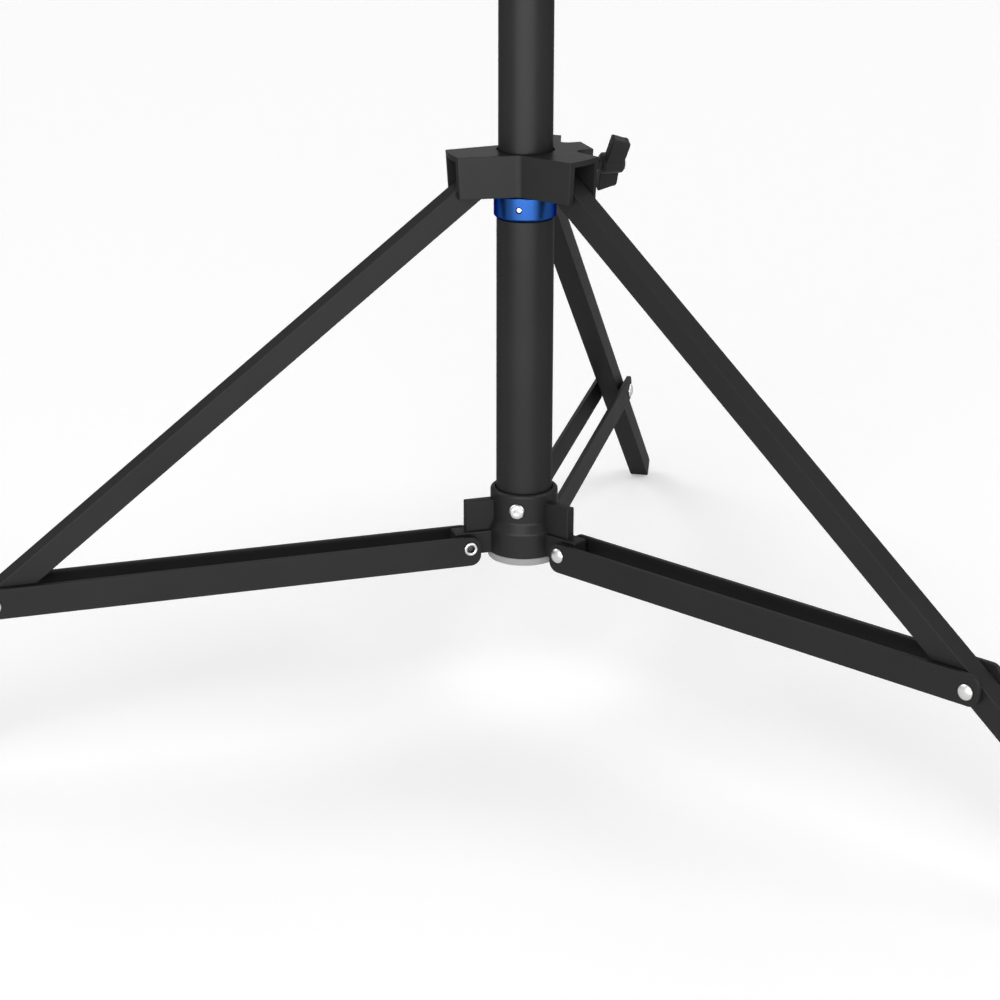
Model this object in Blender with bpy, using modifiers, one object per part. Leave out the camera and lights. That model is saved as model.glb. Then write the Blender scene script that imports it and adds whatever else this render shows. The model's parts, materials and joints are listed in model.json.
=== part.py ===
"""Air-cushioned light stand: folding legs with paired struts, two risers, and clamps with wing knobs.

Metres, +Z up. The origin is on the floor at the middle of the stand's footprint, the legs are spread and
the risers are down. Each arm of the stand has a frame of its own, with +X outwards from the column, +Y
across the arm and +Z up. Heights on the column are counted from the struts' inner rivets.
"""

import math

import bmesh
import bpy
from mathutils import Vector, geometry

MM = 0.001

# Running gap between pieces that touch on the real stand, and how far a cutter runs past what it opens
GAP = 0.3 * MM
CUT_PAST = 1.0 * MM

# Azimuths of the three legs, of the wing knobs (opposite the left leg) and of the column's screws, and the
# angle of the two front legs to the X axis
LEG_AZIMUTH = {"back": 90, "left": 210, "right": 330}
KNOB_AZIMUTH = 30
SCREW_AZIMUTH = -90
FRONT_ANGLE = math.radians(30)

# Tubes of the column: each riser clears the inside of the tube it slides in
TUBE_WALL = 1.2 * MM
BASE_TUBE_R = 17.5 * MM
RISER_CLEARANCE = 1.3 * MM
RISER_1_R = BASE_TUBE_R - TUBE_WALL - RISER_CLEARANCE
RISER_2_R = RISER_1_R - TUBE_WALL - RISER_CLEARANCE
SLEEVE_WALL = 0.72 * MM

# Linkage: a leg hangs from the spider and is held by its pair of strut bars
LEG_ANGLE = math.radians(37.61)
LEG_PIVOT_R = BASE_TUBE_R + 16.4 * MM
LEG_TO_RIVET = 401.7 * MM
RIVET_TO_FOOT = 188.4 * MM
STRUT_PIVOT_R = BASE_TUBE_R + 23.67 * MM
RIVET_DROP = 3.37 * MM

# Leg tube, its pin in the spider and its end cap
LEG_WIDTH = 15.0 * MM
LEG_ABOVE = 6.8 * MM
LEG_BELOW = 8.6 * MM
LEG_WALL = 1.2 * MM
LEG_TAIL = 9.0 * MM
LEG_TAIL_ROUND = 6.0 * MM
PIN_R = 3.0 * MM
PIN_BITE = 3.0 * MM
CAP_LENGTH = 3.7 * MM
CAP_ROUND = 1.5 * MM
CAP_PLUG_LENGTH = 20.0 * MM
FOOT_CUT = 1.2 * MM

# Strut bars: a pair stands off the leg's sides by the thickness of its washers
BAR_INNER = LEG_WIDTH / 2 + 2.5 * MM
BAR_THICKNESS = 3.17 * MM
BAR_ABOVE = 7.7 * MM
BAR_BELOW = 12.1 * MM
BAR_INNER_TAIL = 7.3 * MM
BAR_OUTER_TAIL = 8.8 * MM
BAR_ROUND = 7.0 * MM

# Rivets: domed head on one side, rolled hollow end on the other
RIVET_R = 3.0 * MM
DOME_R = 5.1 * MM
DOME_HEIGHT = 2.2 * MM
ROLL_R = 4.5 * MM
ROLL_HEIGHT = 1.2 * MM
ROLL_ROUND = 0.5 * MM
ROLL_BORE_R = 2.4 * MM
ROLL_BORE_DEPTH = 8.0 * MM
WASHER_R = 6.0 * MM

# Lower hub: a casting round the foot of the sleeve, with a lug and a fin on each arm
HUB_TOP = 36.0 * MM
HUB_BOTTOM = -7.3 * MM
HUB_SHOULDER = 12.0 * MM
HUB_BODY_R = BASE_TUBE_R + 4.9 * MM
HUB_FOOT_R = BASE_TUBE_R + 7.9 * MM
HUB_ROUND = 2.2 * MM
HUB_CONE_TOP = 15.7 * MM
HUB_CONE_BOTTOM = 8.7 * MM
HUB_CUP_GAP = 0.5 * MM
LUG_REACH = STRUT_PIVOT_R + 8.43 * MM
LUG_TOP = 8.8 * MM
LUG_BOTTOM = -6.9 * MM
LUG_HALF = 6.0 * MM
LUG_PAD_R = 6.0 * MM
FIN_REACH = HUB_FOOT_R + 15.9 * MM
FIN_TOP = 29.4 * MM
FIN_THICKNESS = 6.7 * MM
HUB_SCREW_Z = 25.0 * MM
SCREW_R = 2.0 * MM
SCREW_HEAD_R = 5.4 * MM
SCREW_HEAD_HEIGHT = 2.6 * MM
SCREW_SOCKET_R = 1.8 * MM
SCREW_SOCKET_DEPTH = 1.5 * MM

# End plug that closes the base tube and traps its air
BASE_PLUG_R = BASE_TUBE_R + 6.5 * MM
BASE_PLUG_HEIGHT = 5.0 * MM
BASE_PLUG_DEPTH = 11.8 * MM

# Stop ring that the spider rests on
STOP_RING_R = BASE_TUBE_R + 2.8 * MM
STOP_RING_HEIGHT = 16.0 * MM
STOP_RING_ROUND = 1.6 * MM
STOP_SCREW_R = 1.85 * MM
STOP_SCREW_SUNK = 0.5 * MM
STOP_SOCKET_R = 1.0 * MM
STOP_SOCKET_DEPTH = 0.7 * MM

# Spider: the sliding casting with three forked arms and a boss for its clamp
SPIDER_BORE_GAP = 1.2 * MM
SPIDER_BORE_WALL = 2.5 * MM
SPIDER_BELOW_PIVOT = 7.5 * MM
SPIDER_HEIGHT = 27.0 * MM
SPIDER_PLATE = 3.4 * MM
ARM_ROOT_R = 10.0 * MM
ARM_REACH = LEG_PIVOT_R + 14.3 * MM
ARM_SLOT_HALF = LEG_WIDTH / 2 + 2.1 * MM
ARM_SLOT_START = LEG_PIVOT_R - LEG_BELOW - 2.5 * MM
ARM_TIP_HALF = ARM_SLOT_HALF + 4.0 * MM
ARM_TAPER = math.radians(6.2)
ARM_CLIP = 0.5 * MM
NOTCH_ROUND = 5.0 * MM
BOSS_REACH = BASE_TUBE_R + 23.8 * MM
BOSS_HALF = 12.3 * MM
SPIDER_DRAFT = 0.967
SPIDER_KNOB_Z = 14.8 * MM
BUSH_RECESS = 1.5 * MM

# An arm's curved end bulges out. Its points: across, in half widths of the arm, and out, in bulges
ARM_BULGE = 2.2 * MM
ARM_LIP = ((-0.9, 0.75), (0.0, 1.0), (0.9, 0.75))

# Clamps: a shoe pressed on the tube by a stud with a wing knob
STUD_R = 3.0 * MM
SHOE_LENGTH = 4.2 * MM
KNOB_STANDOFF = 9.0 * MM
KNOB_HUB_R = 6.9 * MM
KNOB_CHAMFER = 1.5 * MM
KNOB_LENGTH = 15.4 * MM
KNOB_NECK_R = 4.2 * MM
KNOB_NECK_GAP = 1.2 * MM
KNOB_BORE_DEPTH = 10.0 * MM
WING_REACH = 24.6 * MM
WING_SET_BACK = 1.8 * MM
WING_SHOULDER = 20.4 * MM
WING_SHOULDER_ROUND = 2.0 * MM
WING_TIP_IN = 3.8 * MM
WING_TIP_DROP = 3.6 * MM
WING_LEAN = 1.5 * MM
WING_ROUND = 1.2 * MM
WING_THICKNESS = 6.0 * MM
WING_OFFSET = 2.4 * MM
KNOB_TURN = math.radians(-32)

# Collars on the tops of the base tube and of riser 1
COLLAR_WALL = 3.7 * MM
COLLAR_SOCKET = 28.0 * MM
COLLAR_GUIDE = 24.0 * MM
COLLAR_BOSS_R = 8.0 * MM
COLLAR_BOSS_REACH = 9.0 * MM
COLLAR_BOSS_BITE = 0.5 * MM
COLLAR_ROUND = 2.0 * MM
COLLAR_CLEARANCE = 12.0 * MM
BUSH_WALL = 0.8 * MM

# Risers, their air pistons and the spigot
PISTON_FACE = 6.0 * MM
PISTON_HEIGHT = 16.0 * MM
PISTON_PLUG = 18.0 * MM
PISTON_BLEED_R = 0.8 * MM
SEAL_HEIGHT = 4.0 * MM
SEAL_DEPTH = 1.4 * MM
RISER_GAP = 12.0 * MM
SPIGOT_R = 7.94 * MM
SPIGOT_HEIGHT = 38.0 * MM
SPIGOT_NECK_R = 6.6 * MM
SPIGOT_NECK_HEIGHT = 7.0 * MM
SPIGOT_NECK_Z = 15.0 * MM
SPIGOT_NECK_SLOPE = 1.0 * MM
SPIGOT_FLANGE_HEIGHT = 5.0 * MM
SPIGOT_PLUG = 25.0 * MM
SPIGOT_CHAMFER = 1.0 * MM

# How finely round shapes are divided
ROUND_STEPS = 32
SMALL_STEPS = 12

# Worked out from the sizes above: the linkage at rest and folded
RIVET_OUT = LEG_PIVOT_R + LEG_TO_RIVET * math.cos(LEG_ANGLE)
LEG_PIVOT_Z = LEG_TO_RIVET * math.sin(LEG_ANGLE) - RIVET_DROP
STRUT_LENGTH = math.hypot(RIVET_OUT - STRUT_PIVOT_R, RIVET_DROP)
FOLDED_RIVET_Z = math.sqrt(STRUT_LENGTH ** 2 - (STRUT_PIVOT_R - LEG_PIVOT_R) ** 2)
FOLD_TRAVEL = FOLDED_RIVET_Z + LEG_TO_RIVET - LEG_PIVOT_Z

# The column stands where the three feet put it, and the footprint's middle is the origin
LEG_LENGTH = LEG_TO_RIVET + RIVET_TO_FOOT
FOOT_DROP = LEG_LENGTH * math.sin(LEG_ANGLE) + LEG_BELOW * math.cos(LEG_ANGLE) - FOOT_CUT
HUB_Z = FOOT_DROP - LEG_PIVOT_Z
FOOT_REACH = LEG_PIVOT_R + LEG_LENGTH * math.cos(LEG_ANGLE) + LEG_ABOVE * math.sin(LEG_ANGLE)
FRONT_REACH = FOOT_REACH * math.sin(FRONT_ANGLE) + LEG_WIDTH / 2 * math.cos(FRONT_ANGLE)
COLUMN_Y = (FRONT_REACH - FOOT_REACH) / 2

# Heights on the column, from the struts' inner rivets
SPIDER_BOTTOM = LEG_PIVOT_Z - SPIDER_BELOW_PIVOT
SPIDER_TOP = SPIDER_BOTTOM + SPIDER_HEIGHT
STOP_TOP = SPIDER_BOTTOM - GAP
STOP_BOTTOM = STOP_TOP - STOP_RING_HEIGHT
COLLAR_1_BOTTOM = SPIDER_TOP + FOLD_TRAVEL + COLLAR_CLEARANCE
COLLAR_HEIGHT = COLLAR_SOCKET + COLLAR_GUIDE
COLLAR_2_BOTTOM = COLLAR_1_BOTTOM + COLLAR_HEIGHT + GAP
BASE_TUBE_BOTTOM = HUB_BOTTOM + GAP
BASE_TUBE_TOP = COLLAR_1_BOTTOM + COLLAR_SOCKET - GAP
RISER_1_TOP = COLLAR_2_BOTTOM + COLLAR_SOCKET - GAP
RISER_2_TOP = COLLAR_2_BOTTOM + COLLAR_HEIGHT
PISTON_1_BOTTOM = HUB_BOTTOM + BASE_PLUG_DEPTH + RISER_GAP
PISTON_2_BOTTOM = PISTON_1_BOTTOM + PISTON_HEIGHT + PISTON_PLUG + RISER_GAP


def empty_scene():
    """Remove whatever the file was opened with."""
    for thing in list(bpy.data.objects):
        bpy.data.objects.remove(thing, do_unlink=True)


def material(name, colour, roughness, metallic):
    """One plain finish, as a Principled shader."""
    finish = bpy.data.materials.new(name)
    finish.use_nodes = True
    shader = finish.node_tree.nodes["Principled BSDF"]
    shader.inputs["Base Color"].default_value = (*colour, 1.0)
    shader.inputs["Roughness"].default_value = roughness
    shader.inputs["Metallic"].default_value = metallic
    return finish


def link(thing):
    """Put a new object in the stand's collection."""
    STAND.objects.link(thing)
    return thing


def frame(name, location=(0, 0, 0), azimuth=0, parent=None):
    """An empty that carries pieces: turned to an azimuth, at a place on its parent."""
    empty = link(bpy.data.objects.new(name, None))
    empty.parent = parent
    empty.location = location
    empty.rotation_euler = (0, 0, math.radians(azimuth))
    return empty


def shape(mesh, location=(0, 0, 0), rotation=(0, 0, 0)):
    """A loose helper object round a mesh, for cutting and joining."""
    helper = link(bpy.data.objects.new(mesh.name, mesh))
    helper.location = location
    helper.rotation_euler = rotation
    return helper


def bake(helper):
    """The helper's finished mesh in world space, with its modifiers applied. The helper is removed."""
    bpy.context.view_layer.update()
    evaluated = helper.evaluated_get(bpy.context.evaluated_depsgraph_get())
    mesh = bpy.data.meshes.new_from_object(evaluated)
    mesh.transform(helper.matrix_world)
    bpy.data.objects.remove(helper, do_unlink=True)
    return mesh


def tidy(mesh):
    """Weld a mesh's coincident points and turn its faces outwards."""
    working = bmesh.new()
    working.from_mesh(mesh)
    bmesh.ops.remove_doubles(working, verts=working.verts, dist=1e-6)
    bmesh.ops.recalc_face_normals(working, faces=working.faces)
    working.to_mesh(mesh)
    working.free()
    return mesh


def combine(base, tools, operation):
    """Join the tools' meshes to the base, or cut them out of it."""
    body = shape(base)
    helpers = [shape(tool) for tool in tools]
    for helper in helpers:
        step = body.modifiers.new(operation.lower(), "BOOLEAN")
        step.operation = operation
        step.object = helper
    mesh = bake(body)
    for helper in helpers:
        bpy.data.objects.remove(helper, do_unlink=True)
    return mesh


def joined(base, *tools):
    return combine(base, tools, "UNION")


def cut(base, *tools):
    return combine(base, tools, "DIFFERENCE")


def placed(mesh, location=(0, 0, 0), rotation=(0, 0, 0)):
    """A mesh moved and turned in its own coordinates."""
    return bake(shape(mesh, location, rotation))


def turned(profile, steps=ROUND_STEPS, closed=True):
    """A turned shape round Z. The profile's (radius, height) points run down the outer side."""
    mesh = bpy.data.meshes.new("turned")
    points = [(radius, 0, height) for radius, height in profile]
    edges = [(i, i + 1) for i in range(len(points) - 1)]
    if closed:
        edges.append((len(points) - 1, 0))
    mesh.from_pydata(points, edges, [])
    helper = shape(mesh)
    screw = helper.modifiers.new("turn", "SCREW")
    screw.steps = steps
    screw.render_steps = steps
    screw.use_merge_vertices = True
    screw.merge_threshold = 1e-6
    return tidy(bake(helper))


def tube(outer, inner, bottom, top, steps=ROUND_STEPS):
    """A plain round tube or ring."""
    return turned([(outer, top), (outer, bottom), (inner, bottom), (inner, top)], steps)


def rod(radius, bottom, top, steps=SMALL_STEPS):
    """A plain round bar along Z."""
    return turned([(0, top), (radius, top), (radius, bottom), (0, bottom)], steps, closed=False)


def block(low, high):
    """A box between two opposite corners."""
    working = bmesh.new()
    bmesh.ops.create_cube(working, size=1)
    size = [b - a for a, b in zip(low, high)]
    middle = [(a + b) / 2 for a, b in zip(low, high)]
    bmesh.ops.scale(working, vec=size, verts=working.verts)
    bmesh.ops.translate(working, vec=middle, verts=working.verts)
    mesh = bpy.data.meshes.new("block")
    working.to_mesh(mesh)
    working.free()
    return mesh


def rounded(corners, steps=4):
    """The points of an outline whose (x, y, radius) corners are rounded off with arcs."""
    points = []
    for i, (x, y, radius) in enumerate(corners):
        corner = Vector((x, y))
        if radius == 0:
            points.append(corner)
            continue
        back = (Vector(corners[i - 1][:2]) - corner).normalized()
        ahead = (Vector(corners[(i + 1) % len(corners)][:2]) - corner).normalized()
        half = back.angle(ahead) / 2
        centre = corner + (back + ahead).normalized() * radius / math.sin(half)
        start = corner + back * radius / math.tan(half) - centre
        end = corner + ahead * radius / math.tan(half) - centre
        first = math.atan2(start.y, start.x)
        swing = math.atan2(start.cross(end), start.dot(end))
        for step in range(steps + 1):
            angle = first + swing * step / steps
            points.append(centre + radius * Vector((math.cos(angle), math.sin(angle))))
    return points


def circle(x, y, radius, steps=SMALL_STEPS):
    """The points of a round hole in an outline."""
    angles = [2 * math.pi * i / steps for i in range(steps)]
    return [Vector((x + radius * math.cos(a), y + radius * math.sin(a))) for a in angles]


def plate(outline, thickness, holes=()):
    """A flat plate with the given outline and holes, centred on the XY plane."""
    curve = bpy.data.curves.new("plate", "CURVE")
    curve.dimensions = "2D"
    curve.fill_mode = "BOTH"
    curve.extrude = thickness / 2
    for ring in (outline, *holes):
        spline = curve.splines.new("POLY")
        spline.points.add(len(ring) - 1)
        for point, place in zip(spline.points, ring):
            point.co = (place.x, place.y, 0, 1)
        spline.use_cyclic_u = True
    return tidy(bake(link(bpy.data.objects.new("plate", curve))))


def upright(outline, thickness, holes=(), y=0.0):
    """A plate stood up in an arm's XZ plane, with its middle at y."""
    return placed(plate(outline, thickness, holes), (0, y, 0), (math.pi / 2, 0, 0))


def across(mesh, y=0.0):
    """A turned shape laid along an arm's Y axis."""
    return placed(mesh, (0, y, 0), (-math.pi / 2, 0, 0))


def outwards(mesh):
    """A turned shape laid along an arm's X axis."""
    return placed(mesh, (0, 0, 0), (0, math.pi / 2, 0))


def piece(name, mesh, finish, parent, location=(0, 0, 0), rotation=(0, 0, 0)):
    """One real piece of the stand, as its own object."""
    mesh.materials.clear()
    mesh.materials.append(finish)
    mesh.shade_smooth()
    mesh.set_sharp_from_angle(angle=math.radians(35))
    mesh.name = name
    thing = link(bpy.data.objects.new(name, mesh))
    thing.parent = parent
    thing.location = location
    thing.rotation_euler = rotation
    return thing


def on_arm(place, azimuth):
    """A point of an arm's XY plane, in the column's own axes."""
    turn = math.radians(azimuth)
    x, y = place
    return Vector((x * math.cos(turn) - y * math.sin(turn), x * math.sin(turn) + y * math.cos(turn)))


def crossing(first, second):
    """Where two lines of a plan cross, each given by two points."""
    found = geometry.intersect_line_line(*(point.to_3d() for point in (*first, *second)))
    return found[0].to_2d()


# The column's lower end

def hub_mesh():
    """The casting at the foot of the column: a cup for the sleeve, with three lugs, their pads and fins."""
    cup_r = BASE_TUBE_R + GAP + SLEEVE_WALL + HUB_CUP_GAP
    edge = HUB_ROUND * (1 - math.sqrt(0.5))
    profile = [
        (HUB_BODY_R - HUB_ROUND, HUB_TOP), (HUB_BODY_R - edge, HUB_TOP - edge),
        (HUB_BODY_R, HUB_TOP - HUB_ROUND), (HUB_BODY_R, HUB_CONE_TOP), (HUB_FOOT_R, HUB_CONE_BOTTOM),
        (HUB_FOOT_R, HUB_BOTTOM),
    ]
    body = turned([(0, HUB_TOP), *profile, (0, HUB_BOTTOM)], closed=False)
    additions = []
    for azimuth in LEG_AZIMUTH.values():
        turn = (0, 0, math.radians(azimuth))
        lug = block((HUB_FOOT_R / 2, -LUG_HALF, LUG_BOTTOM), (LUG_REACH, LUG_HALF, LUG_TOP))
        fin = block(
            (HUB_FOOT_R / 2, -FIN_THICKNESS / 2, LUG_BOTTOM / 2), (FIN_REACH, FIN_THICKNESS / 2, FIN_TOP)
        )
        pad_half = BAR_INNER - GAP
        pads = placed(across(rod(LUG_PAD_R, -pad_half, pad_half, ROUND_STEPS)), (STRUT_PIVOT_R, 0, 0))
        additions += [placed(shape, rotation=turn) for shape in (lug, fin, pads)]
    casting = joined(body, *additions)
    holes = [
        rod(cup_r, HUB_SHOULDER, HUB_TOP + CUT_PAST, ROUND_STEPS),
        rod(BASE_TUBE_R + GAP, HUB_BOTTOM - CUT_PAST, HUB_SHOULDER + CUT_PAST, ROUND_STEPS),
        placed(
            outwards(rod(SCREW_R + GAP, 0, HUB_BODY_R + CUT_PAST)),
            (0, 0, HUB_SCREW_Z), (0, 0, math.radians(SCREW_AZIMUTH)),
        ),
    ]
    for azimuth in LEG_AZIMUTH.values():
        bore = placed(across(rod(RIVET_R + GAP, -BAR_INNER, BAR_INNER)), (STRUT_PIVOT_R, 0, 0))
        holes.append(placed(bore, rotation=(0, 0, math.radians(azimuth))))
    return cut(casting, *holes)


def dome_profile(radius, height, seat):
    """A domed head, from its crown down to its seat."""
    rings = 4
    points = [(0, seat + height)]
    for ring in range(1, rings + 1):
        angle = math.pi / 2 * ring / rings
        points.append((radius * math.sin(angle), seat + height * math.cos(angle)))
    return points


def button_screw_mesh():
    """A domed socket screw along X, its shank just clear of the sleeve and its head outside the hub."""
    tip = BASE_TUBE_R + 2 * GAP + SLEEVE_WALL + GAP
    seat = HUB_BODY_R + GAP
    crown = seat + SCREW_HEAD_HEIGHT
    dome = dome_profile(SCREW_HEAD_R, SCREW_HEAD_HEIGHT, seat)
    screw = turned([*dome, (SCREW_R, seat), (SCREW_R, tip), (0, tip)], SMALL_STEPS, closed=False)
    socket = rod(SCREW_SOCKET_R, crown - SCREW_SOCKET_DEPTH, crown + CUT_PAST, 6)
    return outwards(cut(screw, socket))


def add_lower_column(column):
    """Hub, tube, sleeve, stop ring, screws and end plug."""
    inner = BASE_TUBE_R - TUBE_WALL
    sleeve_bore = BASE_TUBE_R + GAP
    sleeve_r = sleeve_bore + SLEEVE_WALL
    piece("base_tube", tube(BASE_TUBE_R, inner, BASE_TUBE_BOTTOM, BASE_TUBE_TOP), COATING, column)
    sleeve = tube(sleeve_r, sleeve_bore, HUB_SHOULDER + GAP, STOP_BOTTOM - GAP)
    piece("lower_sleeve", sleeve, COATING, column)
    piece("lower_hub", hub_mesh(), CASTING, column)
    screw_turn = (0, 0, math.radians(SCREW_AZIMUTH))
    piece("hub_screw", button_screw_mesh(), STEEL, column, (0, 0, HUB_SCREW_Z), screw_turn)

    flange_top = HUB_BOTTOM - GAP
    plug = turned(
        [
            (0, HUB_BOTTOM + BASE_PLUG_DEPTH), (inner - GAP, HUB_BOTTOM + BASE_PLUG_DEPTH),
            (inner - GAP, flange_top), (BASE_PLUG_R, flange_top),
            (BASE_PLUG_R, flange_top - BASE_PLUG_HEIGHT), (0, flange_top - BASE_PLUG_HEIGHT),
        ],
        closed=False,
    )
    piece("base_plug", plug, GREY_PLASTIC, column)

    ring = turned(
        [
            (STOP_RING_R - STOP_RING_ROUND / 2, STOP_TOP), (STOP_RING_R, STOP_TOP - STOP_RING_ROUND / 2),
            (STOP_RING_R, STOP_BOTTOM + STOP_RING_ROUND), (STOP_RING_R - STOP_RING_ROUND, STOP_BOTTOM),
            (sleeve_bore, STOP_BOTTOM), (sleeve_bore, STOP_TOP),
        ]
    )
    screw_z = (STOP_TOP + STOP_BOTTOM) / 2
    hole = placed(outwards(rod(STOP_SCREW_R + GAP, 0, STOP_RING_R + CUT_PAST)), (0, 0, screw_z), screw_turn)
    piece("stop_ring", cut(ring, hole), ANODISED, column)
    tip = sleeve_bore + GAP
    crown = STOP_RING_R - STOP_SCREW_SUNK
    socket = rod(STOP_SOCKET_R, crown - STOP_SOCKET_DEPTH, crown + CUT_PAST, 6)
    screw = cut(rod(STOP_SCREW_R, tip, crown), socket)
    piece("stop_ring_screw", outwards(screw), STEEL, column, (0, 0, screw_z), screw_turn)


# The legs and struts

def leg_mesh():
    """A rectangular tube along X from its pin, open at both ends, with a rounded tail."""
    tail = (-LEG_TAIL, -LEG_BELOW, LEG_TAIL_ROUND), (-LEG_TAIL, LEG_ABOVE, LEG_TAIL_ROUND)
    end = LEG_LENGTH - CAP_LENGTH - GAP
    outline = rounded([(end, LEG_ABOVE, 0), tail[1], tail[0], (end, -LEG_BELOW, 0)])
    bar = upright(outline, LEG_WIDTH)
    half = LEG_WIDTH / 2 - LEG_WALL
    hollow = block(
        (-2 * LEG_TAIL, -half, -LEG_BELOW + LEG_WALL), (LEG_LENGTH, half, LEG_ABOVE - LEG_WALL)
    )
    bore = across(rod(PIN_R + GAP, -LEG_WIDTH, LEG_WIDTH))
    return cut(bar, hollow, bore)


def foot_cap_mesh():
    """The plug in a leg's lower end, with a small flat that stands on the floor."""
    start = LEG_LENGTH - CAP_LENGTH
    along = FOOT_CUT / math.sin(LEG_ANGLE)
    up = FOOT_CUT / math.cos(LEG_ANGLE)
    outline = [
        (start, LEG_ABOVE, 0), (start, -LEG_BELOW, 0), (LEG_LENGTH - along, -LEG_BELOW, 0),
        (LEG_LENGTH, -LEG_BELOW + up, 0), (LEG_LENGTH, LEG_ABOVE, CAP_ROUND),
    ]
    head = upright(rounded(outline), LEG_WIDTH)
    half = LEG_WIDTH / 2 - LEG_WALL - GAP
    plug = block(
        (start - CAP_PLUG_LENGTH, -half, -LEG_BELOW + LEG_WALL + GAP),
        (start + CAP_LENGTH / 2, half, LEG_ABOVE - LEG_WALL - GAP),
    )
    return joined(head, plug)


def bar_mesh():
    """A flat strut bar along X from its inner rivet, in the middle of its thickness."""
    outer_x = RIVET_OUT - STRUT_PIVOT_R
    outline = [
        (-BAR_INNER_TAIL, BAR_ABOVE, BAR_ROUND), (-BAR_INNER_TAIL, -BAR_BELOW, BAR_ROUND),
        (outer_x + BAR_OUTER_TAIL, -BAR_BELOW, BAR_ROUND), (outer_x + BAR_OUTER_TAIL, BAR_ABOVE, BAR_ROUND),
    ]
    holes = [circle(0, 0, RIVET_R + GAP), circle(outer_x, -RIVET_DROP, RIVET_R + GAP)]
    return upright(rounded(outline), BAR_THICKNESS, holes)


def rolled_profile(seat):
    """The rolled hollow end of a rivet, from its seat round its lip and into its bore."""
    lip = seat - ROLL_HEIGHT
    return [
        (ROLL_R, seat), (ROLL_R, lip + ROLL_ROUND), (ROLL_R - ROLL_ROUND, lip),
        (ROLL_BORE_R + ROLL_ROUND, lip), (ROLL_BORE_R, lip + ROLL_ROUND),
    ]


def rivet_meshes():
    """A whole inner rivet, and the two ends of an outer one, along -Y with the dome first."""
    seat = BAR_INNER + BAR_THICKNESS + GAP
    inside = BAR_INNER
    dome = dome_profile(DOME_R, DOME_HEIGHT, seat)
    inner = turned(
        [
            *dome, (RIVET_R, seat), (RIVET_R, -seat), *rolled_profile(-seat),
            (ROLL_BORE_R, -seat - ROLL_HEIGHT + ROLL_BORE_DEPTH), (0, -seat - ROLL_HEIGHT + ROLL_BORE_DEPTH),
        ],
        SMALL_STEPS, closed=False,
    )
    head = turned([*dome, (RIVET_R, seat), (RIVET_R, inside), (0, inside)], SMALL_STEPS, closed=False)
    tail = turned(
        [
            (0, -inside), (RIVET_R, -inside), (RIVET_R, -seat), *rolled_profile(-seat),
            (ROLL_BORE_R, -inside - BAR_THICKNESS / 3), (0, -inside - BAR_THICKNESS / 3),
        ],
        SMALL_STEPS, closed=False,
    )
    return [placed(mesh, rotation=(math.pi / 2, 0, 0)) for mesh in (inner, head, tail)]


def add_legs(column, spider):
    """Three legs on the spider, and three pairs of strut bars on the hub."""
    leg = leg_mesh()
    cap = foot_cap_mesh()
    pin_half = ARM_SLOT_HALF + PIN_BITE - GAP
    pin = across(rod(PIN_R, -pin_half, pin_half))
    bar = bar_mesh()
    inner_rivet, outer_head, outer_tail = rivet_meshes()
    washer_half = (BAR_INNER - LEG_WIDTH / 2) / 2 - GAP
    washer = across(tube(WASHER_R, RIVET_R + GAP, -washer_half, washer_half, SMALL_STEPS))
    washer_y = (BAR_INNER + LEG_WIDTH / 2) / 2
    bar_y = BAR_INNER + BAR_THICKNESS / 2
    outer = (RIVET_OUT - STRUT_PIVOT_R, 0, -RIVET_DROP)
    for side, azimuth in LEG_AZIMUTH.items():
        arm = frame("arm_" + side, azimuth=azimuth, parent=spider)
        hinge = frame("leg_hinge_" + side, (LEG_PIVOT_R, 0, LEG_PIVOT_Z), parent=arm)
        tilt = (0, LEG_ANGLE, 0)
        piece("leg_" + side, leg.copy(), COATING, hinge, rotation=tilt)
        piece("foot_cap_" + side, cap.copy(), RUBBER, hinge, rotation=tilt)
        piece("leg_pin_" + side, pin.copy(), STEEL, arm, (LEG_PIVOT_R, 0, LEG_PIVOT_Z))

        base = frame("lug_" + side, azimuth=azimuth, parent=column)
        strut = frame("strut_hinge_" + side, (STRUT_PIVOT_R, 0, 0), parent=base)
        piece("inner_rivet_" + side, inner_rivet.copy(), STEEL, strut)
        piece("outer_rivet_head_" + side, outer_head.copy(), STEEL, strut, outer)
        piece("outer_rivet_tail_" + side, outer_tail.copy(), STEEL, strut, outer)
        for letter, sign in (("a", -1), ("b", 1)):
            piece(f"strut_bar_{side}_{letter}", bar.copy(), COATING, strut, (0, sign * bar_y, 0))
            place = (outer[0], sign * washer_y, outer[2])
            piece(f"washer_{side}_{letter}", washer.copy(), BLACK_PLASTIC, strut, place)


# The clamps

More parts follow.
